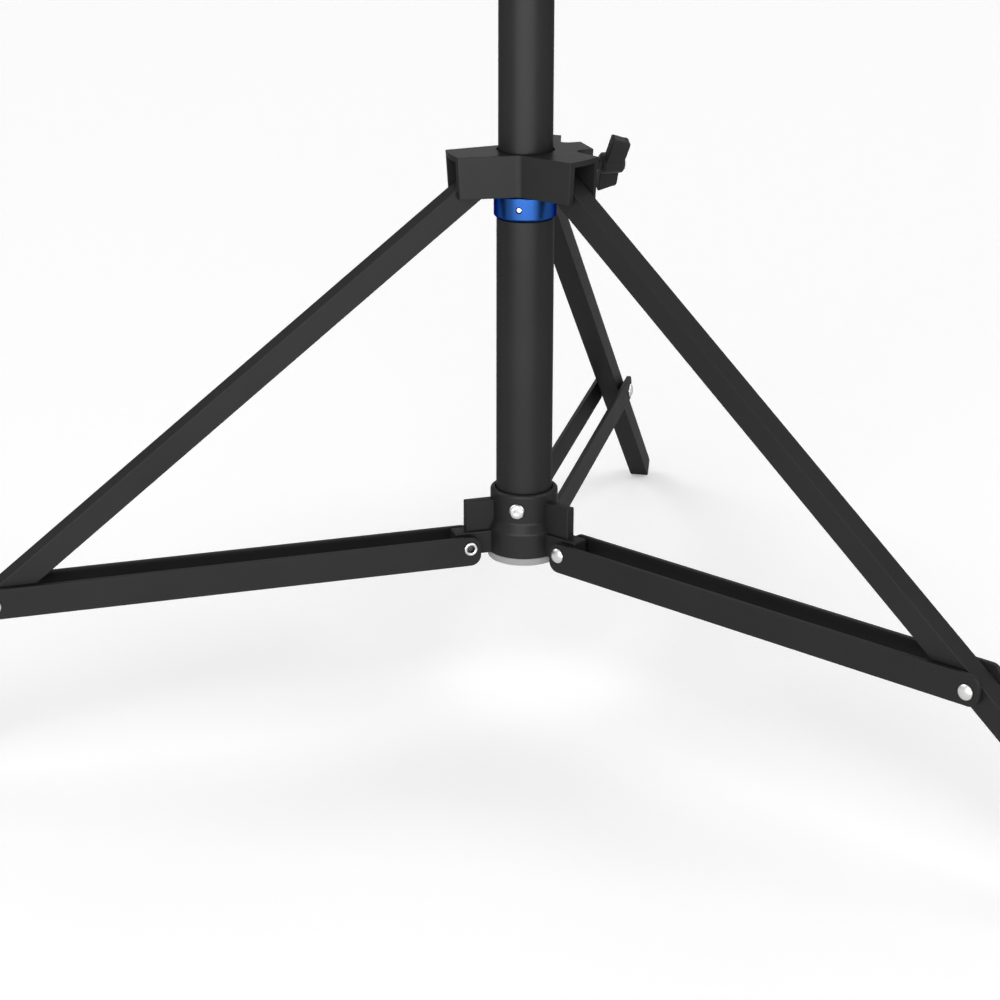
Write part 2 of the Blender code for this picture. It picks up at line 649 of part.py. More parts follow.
def knob_mesh(start):
    """A wing knob along X: a round hub on a neck, with two flat wings set off to either side of it."""
    end = start + KNOB_LENGTH
    hub = turned(
        [
            (0, end), (KNOB_HUB_R - KNOB_CHAMFER, end), (KNOB_HUB_R, end - KNOB_CHAMFER),
            (KNOB_HUB_R, start + KNOB_CHAMFER), (KNOB_HUB_R - KNOB_CHAMFER, start), (0, start),
        ],
        SMALL_STEPS, closed=False,
    )
    hub = outwards(hub)
    wing_start = start + WING_SET_BACK
    outline = rounded(
        [
            (wing_start, 0, 0), (end - WING_LEAN, 0, 0), (end, WING_SHOULDER, WING_SHOULDER_ROUND),
            (end - WING_TIP_IN, WING_REACH - WING_TIP_DROP, WING_ROUND),
            (wing_start + WING_LEAN, WING_REACH, WING_ROUND),
        ]
    )
    upper = upright(outline, WING_THICKNESS, y=-WING_OFFSET)
    lower = placed(upper.copy(), rotation=(math.pi, 0, 0))
    neck_start = start - KNOB_STANDOFF + KNOB_NECK_GAP
    neck = outwards(rod(KNOB_NECK_R, neck_start, start + KNOB_CHAMFER))
    knob = joined(hub, upper, lower, neck)
    bore = outwards(rod(STUD_R + GAP, neck_start - CUT_PAST, start + KNOB_BORE_DEPTH))
    return placed(cut(knob, bore), rotation=(-KNOB_TURN, 0, 0))


def add_clamp(prefix, height, tube_r, boss_end, parent):
    """The shoe, stud and wing knob that press on a tube through a boss."""
    arm = frame(prefix + "_clamp", (0, 0, height), KNOB_AZIMUTH, parent)
    shoe_start = tube_r + GAP
    stud_start = shoe_start + SHOE_LENGTH + GAP
    knob_start = boss_end + KNOB_STANDOFF
    stud_end = knob_start + KNOB_BORE_DEPTH - GAP
    piece(prefix + "_shoe", outwards(rod(STUD_R, shoe_start, stud_start - GAP)), BRASS, arm)
    piece(prefix + "_stud", outwards(rod(STUD_R, stud_start, stud_end)), STEEL, arm)
    piece(prefix + "_knob", knob_mesh(knob_start), BLACK_PLASTIC, arm)


def clamp_bore(height, start, reach, clearance=GAP):
    """The cutter for the hole that a clamp's stud and shoe go through."""
    bore = outwards(rod(STUD_R + clearance, start, reach))
    return placed(bore, (0, 0, height), (0, 0, math.radians(KNOB_AZIMUTH)))


def bush_mesh(tube_r, wall, bottom, top, knob_z):
    """A thin plastic liner that guides a tube, with a window for the clamp's shoe."""
    ring = tube(tube_r + GAP + wall, tube_r + GAP, bottom, top)
    return cut(ring, clamp_bore(knob_z, 0, tube_r + GAP + wall + CUT_PAST, 2 * GAP))


# The spider

def spider_outline():
    """The plan of the spider: three tapered arms and a boss, with rounded notches between them."""
    root_half = ARM_TIP_HALF + (ARM_REACH - ARM_ROOT_R) * math.tan(ARM_TAPER)
    arms = []
    for azimuth in (KNOB_AZIMUTH, *LEG_AZIMUTH.values()):
        if azimuth == KNOB_AZIMUTH:
            reach, tip_half, base_half, lip = BOSS_REACH, BOSS_HALF, BOSS_HALF, ()
        else:
            reach, tip_half, base_half, lip = ARM_REACH, ARM_TIP_HALF, root_half, ARM_LIP
        low = [on_arm((ARM_ROOT_R, -base_half), azimuth), on_arm((reach, -tip_half), azimuth)]
        high = [on_arm((ARM_ROOT_R, base_half), azimuth), on_arm((reach, tip_half), azimuth)]
        lip = [on_arm((reach + out * ARM_BULGE, side * tip_half), azimuth) for side, out in lip]
        arms.append((low, lip, high))
    corners = []
    for i, (low, lip, high) in enumerate(arms):
        notch = crossing(arms[i - 1][2], low)
        corners.append((*notch, NOTCH_ROUND))
        corners.append((*low[1], ARM_CLIP))
        corners += [(*point, 0) for point in lip]
        corners.append((*high[1], ARM_CLIP))
    return rounded(corners)


def spider_mesh():
    """The sliding casting: a drafted block with three open forks, a bore and a threaded boss."""
    middle = SPIDER_BOTTOM + SPIDER_HEIGHT / 2
    block_mesh = placed(plate(spider_outline(), SPIDER_HEIGHT), (0, 0, middle))
    for vertex in block_mesh.vertices:
        if vertex.co.z < middle:
            vertex.co.x *= SPIDER_DRAFT
            vertex.co.y *= SPIDER_DRAFT
    bore_r = BASE_TUBE_R + SPIDER_BORE_GAP
    core = rod(bore_r + SPIDER_BORE_WALL, SPIDER_BOTTOM + GAP, SPIDER_TOP - GAP, ROUND_STEPS)
    block_mesh = joined(block_mesh, core)
    bore = rod(bore_r, SPIDER_BOTTOM - CUT_PAST, SPIDER_TOP + CUT_PAST, ROUND_STEPS)
    cutters = [bore, clamp_bore(SPIDER_BOTTOM + SPIDER_KNOB_Z, 0, BOSS_REACH + CUT_PAST)]
    pocket = ARM_SLOT_HALF + PIN_BITE
    for azimuth in LEG_AZIMUTH.values():
        turn = (0, 0, math.radians(azimuth))
        slot = block(
            (ARM_SLOT_START, -ARM_SLOT_HALF, SPIDER_BOTTOM - CUT_PAST),
            (2 * ARM_REACH, ARM_SLOT_HALF, SPIDER_TOP - SPIDER_PLATE),
        )
        pin = placed(across(rod(PIN_R + GAP, -pocket, pocket)), (LEG_PIVOT_R, 0, LEG_PIVOT_Z))
        cutters.append(placed(slot, rotation=turn))
        cutters.append(placed(pin, rotation=turn))
    return cut(block_mesh, *cutters)


def add_spider(spider):
    """The spider with its liner and its clamp."""
    knob_z = SPIDER_BOTTOM + SPIDER_KNOB_Z
    liner_wall = SPIDER_BORE_GAP - 2 * GAP
    piece("spider", spider_mesh(), CASTING, spider)
    liner = bush_mesh(BASE_TUBE_R, liner_wall, SPIDER_BOTTOM + GAP, SPIDER_TOP - BUSH_RECESS, knob_z)
    piece("spider_liner", liner, BLACK_PLASTIC, spider)
    add_clamp("spider", knob_z, BASE_TUBE_R, BOSS_REACH, spider)


# The risers

def collar_mesh(tube_r, riser_r, bottom):
    """A casting that sockets a tube's top, guides the next riser and holds its clamp."""
    outer = tube_r + GAP + COLLAR_WALL
    guide_bore = riser_r + GAP + BUSH_WALL + GAP
    shoulder = bottom + COLLAR_SOCKET
    top = shoulder + COLLAR_GUIDE
    knob_z = shoulder + COLLAR_GUIDE / 2
    body = turned(
        [
            (outer - COLLAR_ROUND, top), (outer, top - COLLAR_ROUND),
            (outer, bottom + COLLAR_ROUND / 2), (outer - COLLAR_ROUND / 2, bottom),
            (tube_r + GAP, bottom), (tube_r + GAP, shoulder), (guide_bore, shoulder), (guide_bore, top),
        ]
    )
    boss_start = guide_bore + GAP + COLLAR_BOSS_BITE
    boss = outwards(rod(COLLAR_BOSS_R, boss_start, outer + COLLAR_BOSS_REACH, SMALL_STEPS))
    boss = placed(boss, (0, 0, knob_z), (0, 0, math.radians(KNOB_AZIMUTH)))
    return cut(joined(body, boss), clamp_bore(knob_z, 0, outer + COLLAR_BOSS_REACH + CUT_PAST))


def add_collar(name, tube_r, riser_r, bottom, parent):
    """A collar with its bush and clamp."""
    shoulder = bottom + COLLAR_SOCKET
    knob_z = shoulder + COLLAR_GUIDE / 2
    boss_end = tube_r + GAP + COLLAR_WALL + COLLAR_BOSS_REACH
    piece(name, collar_mesh(tube_r, riser_r, bottom), CASTING, parent)
    top = shoulder + COLLAR_GUIDE - BUSH_RECESS
    bush = bush_mesh(riser_r, BUSH_WALL, shoulder + GAP, top, knob_z)
    piece(name + "_bush", bush, BLACK_PLASTIC, parent)
    add_clamp(name, knob_z, riser_r, boss_end, parent)


def add_piston(name, housing_r, riser_r, bottom, parent):
    """The bleeding plug at a riser's foot that rides on the trapped air, and its seal ring."""
    face = housing_r - TUBE_WALL - GAP
    groove = face - SEAL_DEPTH
    plug_r = riser_r - TUBE_WALL - GAP
    low = bottom + PISTON_FACE - GAP
    high = bottom + PISTON_FACE + SEAL_HEIGHT + GAP
    shoulder = bottom + PISTON_HEIGHT
    piston = turned(
        [
            (plug_r, shoulder + PISTON_PLUG), (plug_r, shoulder), (face, shoulder), (face, high),
            (groove, high), (groove, low), (face, low), (face, bottom),
            (PISTON_BLEED_R, bottom), (PISTON_BLEED_R, shoulder + PISTON_PLUG),
        ]
    )
    piece(name, piston, BLACK_PLASTIC, parent)
    seal = tube(face, groove + GAP, low + GAP, high - GAP)
    piece(name + "_seal", seal, RUBBER, parent)


def spigot_mesh():
    """The standard lighting spigot, with its flange and the plug that holds it in riser 2."""
    seat = RISER_2_TOP + GAP
    flange_top = seat + SPIGOT_FLANGE_HEIGHT
    neck = flange_top + SPIGOT_NECK_Z
    top = flange_top + SPIGOT_HEIGHT
    plug_r = RISER_2_R - TUBE_WALL - GAP
    return turned(
        [
            (0, top), (SPIGOT_R - SPIGOT_CHAMFER, top), (SPIGOT_R, top - SPIGOT_CHAMFER),
            (SPIGOT_R, neck + SPIGOT_NECK_HEIGHT),
            (SPIGOT_NECK_R, neck + SPIGOT_NECK_HEIGHT - SPIGOT_NECK_SLOPE),
            (SPIGOT_NECK_R, neck + SPIGOT_NECK_SLOPE), (SPIGOT_R, neck), (SPIGOT_R, flange_top),
            (RISER_2_R, flange_top), (RISER_2_R, seat), (plug_r, seat), (plug_r, seat - SPIGOT_PLUG),
            (0, seat - SPIGOT_PLUG),
        ],
        closed=False,
    )


def add_risers(column):
    """Both collars and both sliding tubes, with what they hold."""
    add_collar("collar_1", BASE_TUBE_R, RISER_1_R, COLLAR_1_BOTTOM, column)

    riser_1 = frame("riser_1", parent=column)
    foot_1 = PISTON_1_BOTTOM + PISTON_HEIGHT + GAP
    tube_1 = tube(RISER_1_R, RISER_1_R - TUBE_WALL, foot_1, RISER_1_TOP)
    piece("riser_1_tube", tube_1, COATING, riser_1)
    add_piston("riser_1_piston", BASE_TUBE_R, RISER_1_R, PISTON_1_BOTTOM, riser_1)
    add_collar("collar_2", RISER_1_R, RISER_2_R, COLLAR_2_BOTTOM, riser_1)

    riser_2 = frame("riser_2", parent=riser_1)
    foot_2 = PISTON_2_BOTTOM + PISTON_HEIGHT + GAP
    tube_2 = tube(RISER_2_R, RISER_2_R - TUBE_WALL, foot_2, RISER_2_TOP)
    piece("riser_2_tube", tube_2, COATING, riser_2)
    add_piston("riser_2_piston", RISER_1_R, RISER_2_R, PISTON_2_BOTTOM, riser_2)
    piece("spigot", spigot_mesh(), STEEL, riser_2)


empty_scene()
STAND = bpy.data.collections.new("light_stand")
bpy.context.scene.collection.children.link(STAND)

COATING = material("dark grey powder coat", (0.050, 0.050, 0.051), 0.45, 0.0)
CASTING = material("dark grey coated casting", (0.048, 0.048, 0.049), 0.50, 0.0)
BLACK_PLASTIC = material("black plastic", (0.030, 0.030, 0.030), 0.45, 0.0)
GREY_PLASTIC = material("light grey plastic", (0.36, 0.36, 0.36), 0.50, 0.0)
RUBBER = material("dark grey rubber", (0.045, 0.045, 0.045), 0.80, 0.0)
ANODISED = material("blue anodised aluminium", (0.045, 0.17, 0.56), 0.30, 1.0)
STEEL = material("bright steel", (0.72, 0.71, 0.69), 0.25, 1.0)
BRASS = material("brass", (0.70, 0.52, 0.26), 0.35, 1.0)

column_frame = frame("column", (0, COLUMN_Y, HUB_Z))
spider_frame = frame("spider_slide", parent=column_frame)
add_lower_column(column_frame)
add_spider(spider_frame)
add_legs(column_frame, spider_frame)
add_risers(column_frame)
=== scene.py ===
"""The looks of the air-cushioned light stand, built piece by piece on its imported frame.

Lengths are metres, and +Z is up. The sections follow the stand as it is put together, from the tubes at the
foot of the column to the spigot at its top.
"""

import json
import math

import bmesh
import bpy
from mathutils import Matrix, Vector


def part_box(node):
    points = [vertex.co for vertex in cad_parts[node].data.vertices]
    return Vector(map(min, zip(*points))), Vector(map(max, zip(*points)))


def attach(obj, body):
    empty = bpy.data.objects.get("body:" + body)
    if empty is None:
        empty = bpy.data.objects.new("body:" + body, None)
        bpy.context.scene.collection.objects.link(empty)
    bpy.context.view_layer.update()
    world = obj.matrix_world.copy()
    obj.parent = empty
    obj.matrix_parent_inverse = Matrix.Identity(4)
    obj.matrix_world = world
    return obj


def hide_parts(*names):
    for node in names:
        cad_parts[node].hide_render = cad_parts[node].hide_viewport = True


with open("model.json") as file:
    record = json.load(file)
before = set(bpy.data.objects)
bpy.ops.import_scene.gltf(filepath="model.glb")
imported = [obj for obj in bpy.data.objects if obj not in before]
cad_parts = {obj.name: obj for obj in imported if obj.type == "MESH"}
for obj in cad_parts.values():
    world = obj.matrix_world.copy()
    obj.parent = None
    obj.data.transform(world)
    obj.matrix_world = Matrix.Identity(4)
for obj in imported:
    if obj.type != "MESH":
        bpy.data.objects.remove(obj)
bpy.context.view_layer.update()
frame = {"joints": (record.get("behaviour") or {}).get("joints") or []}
MM = 0.001

# The camera stands where the photograph's did: in front, a little to the right, looking down on the spider.
# The whole background is the studio's floor.
CAMERA_LENS = 88.236
CAMERA_SENSOR = 36.0
CAMERA_SIGHT = 60.0
CAMERA_PLACE = (0.31108, -1.62727, 0.69858)
CAMERA_TURN = (math.radians(70.320), math.radians(-0.065), math.radians(12.304))

camera_data = bpy.data.cameras.new("camera")
camera_data.lens = CAMERA_LENS
camera_data.sensor_width = CAMERA_SENSOR
camera_data.clip_end = CAMERA_SIGHT
camera = bpy.data.objects.new("camera", camera_data)
camera.location = CAMERA_PLACE
camera.rotation_euler = CAMERA_TURN
bpy.context.scene.collection.objects.link(camera)
bpy.context.scene.camera = camera
bpy.context.scene.view_settings.view_transform = "Standard"


class Socket:
    """One output of a shader node. Sums and products of sockets and numbers add their Math nodes."""

    def __init__(self, tree, output):
        self.tree = tree
        self.output = output

    def node(self, kind, settings, inputs, output=0):
        """A new node: first its settings, then the values or links of its sockets. Returns one output."""
        made = self.tree.nodes.new("ShaderNode" + kind)
        for name, value in settings.items():
            setattr(made, name, value)
        for name, value in inputs.items():
            feed(made.inputs[name], value)
        return Socket(self.tree, made.outputs[output])

    def __add__(self, other):
        return self.node("Math", {"operation": "ADD"}, {0: self, 1: other})

    def __sub__(self, other):
        return self.node("Math", {"operation": "SUBTRACT"}, {0: self, 1: other})

    def __rsub__(self, other):
        return self.node("Math", {"operation": "SUBTRACT"}, {0: other, 1: self})

    def __mul__(self, other):
        return self.node("Math", {"operation": "MULTIPLY"}, {0: self, 1: other})

    __radd__ = __add__
    __rmul__ = __mul__


def feed(socket, value):
    """Link a socket to another one, or set it."""
    if isinstance(value, Socket):
        value.tree.links.new(value.output, socket)
    else:
        socket.default_value = value


# The studio: a white floor that keeps soft shadows, a wide light on each of four sides, and a long soft box
# low down behind the camera. The camera sees the floor and the room as white. Shiny surfaces see the floor as
# white too, and the room nearly so.
WHITE = (1.0, 1.0, 1.0, 1.0)
FLOOR_HALF = 30.0
FLOOR_GREY = (0.86, 0.86, 0.86, 1.0)
FLOOR_ROUGHNESS = 0.9
FLOOR_LIFT = 0.265
ROOM_LIGHT = 0.05
ROOM_MIRRORED = 0.90
CENTRE = (0.0, 0.0, 0.0)
FRONT_POWER = 1.35
SIDE_POWER = 0.87
BACK_POWER = 1.0
SPREAD = math.radians(40)
BACK_SPREAD = math.radians(60)
SOFT_BOX_POWER = 54.0
SOFT_BOX_PLACE = (0.36, -2.46, 0.22)
SOFT_BOX_AIM = (0.0, -0.12, 0.25)
SOFT_BOX_WIDTH = 4.0
SOFT_BOX_HEIGHT = 0.36


def rays(tree):
    """Whether a ray comes from the camera, from a mirroring surface, or through glass: three sockets."""
    kinds = tree.nodes.new("ShaderNodeLightPath").outputs
    names = ("Is Camera Ray", "Is Glossy Ray", "Is Transmission Ray")
    return [Socket(tree, kinds[name]) for name in names]


floor_mesh = bmesh.new()
bmesh.ops.create_grid(floor_mesh, x_segments=1, y_segments=1, size=FLOOR_HALF)
floor_data = bpy.data.meshes.new("floor")
floor_mesh.to_mesh(floor_data)
floor_mesh.free()
floor = bpy.data.objects.new("floor", floor_data)
bpy.context.scene.collection.objects.link(floor)

paper = bpy.data.materials.new("studio paper")
paper.use_nodes = True
paper_shader = paper.node_tree.nodes["Principled BSDF"]
seen, mirrored, through = rays(paper.node_tree)
feed(paper_shader.inputs["Base Color"], FLOOR_GREY)
feed(paper_shader.inputs["Roughness"], FLOOR_ROUGHNESS)
feed(paper_shader.inputs["Specular IOR Level"], 0.0)
feed(paper_shader.inputs["Emission Color"], WHITE)
feed(paper_shader.inputs["Emission Strength"], (seen + mirrored + through) * FLOOR_LIFT)
floor_data.materials.append(paper)

room = bpy.data.worlds.new("room")
room.use_nodes = True
bpy.context.scene.world = room
room_light = room.node_tree.nodes["Background"]
seen, mirrored, through = rays(room.node_tree)
feed(room_light.inputs["Color"], WHITE)
whitened = (seen + through) * (1.0 - ROOM_LIGHT) + mirrored * (ROOM_MIRRORED - ROOM_LIGHT)
feed(room_light.inputs["Strength"], whitened + ROOM_LIGHT)


def lamp(name, kind, place, aim, power, **shape):
    """A lamp turned towards a point."""
    data = bpy.data.lights.new(name, kind)
    data.energy = power
    for setting, value in shape.items():
        setattr(data, setting, value)
    made = bpy.data.objects.new(name, data)
    made.location = place
    made.rotation_euler = (Vector(aim) - Vector(place)).to_track_quat("-Z", "Y").to_euler()
    bpy.context.scene.collection.objects.link(made)


lamp("front light", "SUN", (0.0, -1.7, 1.0), CENTRE, FRONT_POWER, angle=SPREAD)
lamp("left light", "SUN", (-1.45, 0.0, 1.35), CENTRE, SIDE_POWER, angle=SPREAD)
lamp("right light", "SUN", (1.45, 0.0, 1.35), CENTRE, SIDE_POWER, angle=SPREAD)
lamp("back light", "SUN", (0.0, 1.7, 1.0), CENTRE, BACK_POWER, angle=BACK_SPREAD)
lamp(
    "soft box", "AREA", SOFT_BOX_PLACE, SOFT_BOX_AIM, SOFT_BOX_POWER,
    shape="RECTANGLE", size=SOFT_BOX_WIDTH, size_y=SOFT_BOX_HEIGHT,
)

# The column's place, read from the frame: the foot of its tube lies just above the hub's lower face. Every
# height on the column is counted from the struts' inner rivets.
HUB_BOTTOM = -7.3 * MM
RUNNING_GAP = 0.3 * MM
SAME_POINT = 0.001 * MM
SHARP_DEGREES = 25.0
SMOOTH_ANGLE = math.radians(38)
tube_low, tube_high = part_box("base_tube")
COLUMN = Vector(
    ((tube_low.x + tube_high.x) / 2, (tube_low.y + tube_high.y) / 2, tube_low.z - HUB_BOTTOM - RUNNING_GAP)
)


def heights(node):
    """The lowest and highest point of a CAD node, counted from the struts' inner rivets."""
    low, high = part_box(node)
    return low.z - COLUMN.z, high.z - COLUMN.z


def turned(profile, steps=96, closed=True):
    """A shape turned round Z. The profile is (radius, height) points, joined in a ring if it is closed."""
    working = bmesh.new()
    points = [working.verts.new((radius, 0.0, height)) for radius, height in profile]
    pairs = list(zip(points, points[1:]))
    if closed:
        pairs.append((points[-1], points[0]))
    edges = [working.edges.new(pair) for pair in pairs]
    bmesh.ops.spin(
        working, geom=points + edges, axis=(0, 0, 1), cent=(0, 0, 0), angle=2 * math.pi, steps=steps,
        use_merge=True,
    )
    bmesh.ops.remove_doubles(working, verts=working.verts, dist=SAME_POINT)
    bmesh.ops.recalc_face_normals(working, faces=working.faces)
    return working


def pipe(outer, bore, bottom, top, steps=96):
    """A round tube along Z, from its outer radius to that of its bore."""
    return turned([(outer, top), (outer, bottom), (bore, bottom), (bore, top)], steps)


def bevelled(working, edges, width, segments):
    """Round the given edges, to a width on each of their faces."""
    bmesh.ops.bevel(
        working, geom=edges, offset=width, offset_type="OFFSET", affect="EDGES", segments=segments,
        profile=0.5, clamp_overlap=True, material=-1,
    )
    return working


def soften(working, width, segments=3, sharp=SHARP_DEGREES):
    """Round off a shape's edges that turn by more than an angle in degrees."""
    edges = [e for e in working.edges if e.is_manifold and e.calc_face_angle() > math.radians(sharp)]
    return bevelled(working, edges, width, segments)


def moved(working, *steps):
    """Turn and move a shape by matrices, the first step first."""
    for step in steps:
        bmesh.ops.transform(working, matrix=step, verts=working.verts)
    return working


def piece(name, working, material, body, node):
    """One finished piece that stands for a CAD node and rides on its body. It uses the bmesh up."""
    data = bpy.data.meshes.new(name)
    working.to_mesh(data)
    working.free()
    data.shade_smooth()
    data.set_sharp_from_angle(angle=SMOOTH_ANGLE)
    data.materials.append(material)
    made = bpy.data.objects.new(name, data)
    bpy.context.scene.collection.objects.link(made)
    flats = made.modifiers.new("flat faces stay flat", "WEIGHTED_NORMAL")
    flats.keep_sharp = True
    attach(made, body)
    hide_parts(node)
    return made


ON_COLUMN = Matrix.Translation(COLUMN)

# Base tube and lower sleeve: drawn aluminium tubes, powder-coated in a dark grey with a very fine grain and
# metal flake, which gives it a soft sheen. The sleeve is slipped over the foot of the base tube, from the hub
# to the ring.
COAT_DARK = (0.023, 0.023, 0.0234, 1.0)
COAT_LIGHT = (0.029, 0.029, 0.0295, 1.0)
COAT_FLAKE = 0.5
COAT_EDGE = (0.5, 0.5, 0.5, 1.0)
COAT_CLOUD = 60 * MM
COAT_CLOUD_GLOSS = 0.12
COAT_GRAIN_GLOSS = 0.10
TUBE_WALL = 1.2 * MM
TUBE_R = 17.5 * MM
TUBE_EDGE = 0.3 * MM
SLEEVE_R = 18.52 * MM
SLEEVE_BORE_R = 17.8 * MM
SLEEVE_EDGE = 0.2 * MM


def surface(name):
    """A new material, the inputs of its shader, and the place on the piece that its patterns read."""
    made = bpy.data.materials.new(name)
    made.use_nodes = True
    tree = made.node_tree
    place = Socket(tree, tree.nodes.new("ShaderNodeTexCoord").outputs["Object"])
    return made, tree.nodes["Principled BSDF"].inputs, place


def noise(place, size, detail):
    """Soft spots of about the given size, from 0 to 1."""
    return place.node("TexNoise", {}, {"Vector": place, "Scale": 1 / size, "Detail": detail})


def tone(factor, dark, light):
    """A colour that goes from a dark tone to a light one."""
    return factor.node("Mix", {"data_type": "RGBA"}, {"Factor": factor, 6: dark, 7: light}, output=2)


def swing(pattern, amount):
    """A number that goes up and down with a pattern, by half the amount each way."""
    return (pattern - 0.5) * amount


def bumps(pattern, relief):
    """A surface that rises and falls with a pattern, by the relief."""
    return pattern.node("Bump", {}, {"Strength": 1.0, "Distance": relief, "Height": pattern})


def coating(name, grain_size, roughness, relief):
    """Baked powder with metal flake: clouded a little in tone and gloss, with a grain of the given size."""
    made, inputs, place = surface(name)
    cloud = noise(place, COAT_CLOUD, detail=3.0)
    grain = noise(place, grain_size, detail=4.0)
    gloss = roughness + swing(cloud, COAT_CLOUD_GLOSS) + swing(grain, COAT_GRAIN_GLOSS)
    feed(inputs["Base Color"], tone(cloud, COAT_DARK, COAT_LIGHT))
    feed(inputs["Roughness"], gloss)
    feed(inputs["Metallic"], COAT_FLAKE)
    feed(inputs["Specular IOR Level"], 0.0)
    feed(inputs["Specular Tint"], COAT_EDGE)
    feed(inputs["Normal"], bumps(grain, relief))
    return made


POWDER_COAT = coating("powder coat", grain_size=0.9 * MM, roughness=0.40, relief=0.010 * MM)

low, high = heights("base_tube")
tube = moved(soften(pipe(TUBE_R, TUBE_R - TUBE_WALL, low, high), TUBE_EDGE), ON_COLUMN)
piece("base_tube_coated", tube, POWDER_COAT, "column", "base_tube")

low, high = heights("lower_sleeve")
sleeve = moved(soften(pipe(SLEEVE_R, SLEEVE_BORE_R, low, high), SLEEVE_EDGE), ON_COLUMN)
piece("lower_sleeve_coated", sleeve, POWDER_COAT, "column", "lower_sleeve")


def helper_object(working, name):
    """A short-lived object round a bmesh, for Blender's modifiers. It uses the bmesh up."""
    data = bpy.data.meshes.new(name)
    working.to_mesh(data)
    working.free()
    made = bpy.data.objects.new(name, data)
    bpy.context.scene.collection.objects.link(made)
    return made


def taken_back(made, *others):
    """The first object's shape with its modifiers applied, as a bmesh. It removes all the objects."""
    bpy.context.view_layer.update()
    evaluated = made.evaluated_get(bpy.context.evaluated_depsgraph_get())
    result = bmesh.new()
    result.from_mesh(evaluated.to_mesh())
    evaluated.to_mesh_clear()
    for thing in (made, *others):
        data = thing.data
        bpy.data.objects.remove(thing, do_unlink=True)
        bpy.data.meshes.remove(data)
    return result


def combined(blank, tools, operation):
    """The shape with the tools cut out of it, or joined to it."""
    made = helper_object(blank, "blank")
    others = [helper_object(tool, "tool") for tool in tools]
    for other in others:
        step = made.modifiers.new(operation.lower(), "BOOLEAN")
        step.operation = operation
        step.solver = "EXACT"
        step.object = other
    return taken_back(made, *others)


def joined(blank, *tools):
    """The shape and the tools made one."""
    return combined(blank, tools, "UNION")


def cut(blank, *tools):
    """The shape with the tools cut out of it."""
    return combined(blank, tools, "DIFFERENCE")


def rod(radius, bottom, top, steps=48):
    """A plain round bar along Z."""
    return turned([(0, top), (radius, top), (radius, bottom), (0, bottom)], steps, closed=False)


def block(low, high):
    """A box between two opposite corners."""
    working = bmesh.new()
    bmesh.ops.create_cube(working, size=1.0)
    low, high = Vector(low), Vector(high)
    bmesh.ops.scale(working, vec=high - low, verts=working.verts)
    bmesh.ops.translate(working, vec=(low + high) / 2, verts=working.verts)
    return working


OUTWARDS = Matrix.Rotation(math.radians(90), 4, "Y")
ACROSS = Matrix.Rotation(math.radians(90), 4, "X")


def towards(azimuth):
    """The turn of an outward shape to an azimuth, in degrees."""
    return Matrix.Rotation(math.radians(azimuth), 4, "Z")


def around(azimuth):
    """The frame of an arm of the column: +X outwards at an azimuth, from the column's own axis."""
    return ON_COLUMN @ towards(azimuth)


def at_height(height):
    """The move up to a height on the column."""
    return Matrix.Translation((0, 0, height))


# Stop ring: a turned aluminium ring, anodised bright blue over fine turning marks, that the spider rests on.
# A small plated grub screw in its front locks it on the sleeve's top.
RING_R = 20.3 * MM
RING_ROUND = 1.6 * MM
RING_EDGE = 0.6 * MM
RING_SCREW_R = 1.65 * MM
RING_SCREW_EDGE = 0.35 * MM
RING_HOLE_R = 2.15 * MM
RING_SCREW_SUNK = 0.5 * MM
RING_SOCKET_R = 1.0 * MM
RING_SOCKET_DEPTH = 0.7 * MM
SCREW_AZIMUTH = -90
OVERCUT = 1.0 * MM
ANODISED_DARK = (0.013, 0.052, 0.19, 1.0)
ANODISED_LIGHT = (0.018, 0.066, 0.23, 1.0)
ANODISED_EDGE = (0.22, 0.12, 0.16, 1.0)
ANODISED_ROUGHNESS = 0.30
ANODISED_CLOUD = 8 * MM
ANODISED_CLOUD_GLOSS = 0.08
MARK_SIZE = 0.35 * MM
MARK_DRAWN_OUT = (0.02, 0.02, 1.0)
MARK_RELIEF = 0.004 * MM
MARK_GLOSS = 0.12
PLATING_CLOUD = 3 * MM
PLATING_GLOSS = 0.08
STEEL_DARK = (0.58, 0.575, 0.57, 1.0)
STEEL_LIGHT = (0.66, 0.655, 0.65, 1.0)
STEEL_EDGE = (0.45, 0.45, 0.45, 1.0)


def turned_metal(name):
    """Dyed metal with the fine rings that a lathe leaves round a vertical axis."""
    made, inputs, place = surface(name)
    drawn_out = place.node("Mapping", {}, {"Vector": place, "Scale": MARK_DRAWN_OUT})
    marks = noise(drawn_out, MARK_SIZE, detail=3.0)
    cloud = noise(place, ANODISED_CLOUD, detail=2.0)
    gloss = ANODISED_ROUGHNESS + swing(marks, MARK_GLOSS) + swing(cloud, ANODISED_CLOUD_GLOSS)
    feed(inputs["Base Color"], tone(marks, ANODISED_DARK, ANODISED_LIGHT))
    feed(inputs["Metallic"], 1.0)
    feed(inputs["Specular Tint"], ANODISED_EDGE)
    feed(inputs["Roughness"], gloss)
    feed(inputs["Normal"], bumps(marks, MARK_RELIEF))
    return made


def plated(name, dark, light, edge, roughness):
    """Plain metal, tumbled and plated: nearly even, clouded a little in tone and gloss."""
    made, inputs, place = surface(name)
    cloud = noise(place, PLATING_CLOUD, detail=4.0)
    feed(inputs["Base Color"], tone(cloud, dark, light))
    feed(inputs["Metallic"], 1.0)
    feed(inputs["Specular Tint"], edge)
    feed(inputs["Roughness"], roughness + swing(cloud, PLATING_GLOSS))
    return made


BLUE_ANODISED = turned_metal("blue anodised")
PLATED_STEEL = plated("bright plated steel", STEEL_DARK, STEEL_LIGHT, STEEL_EDGE, roughness=0.28)

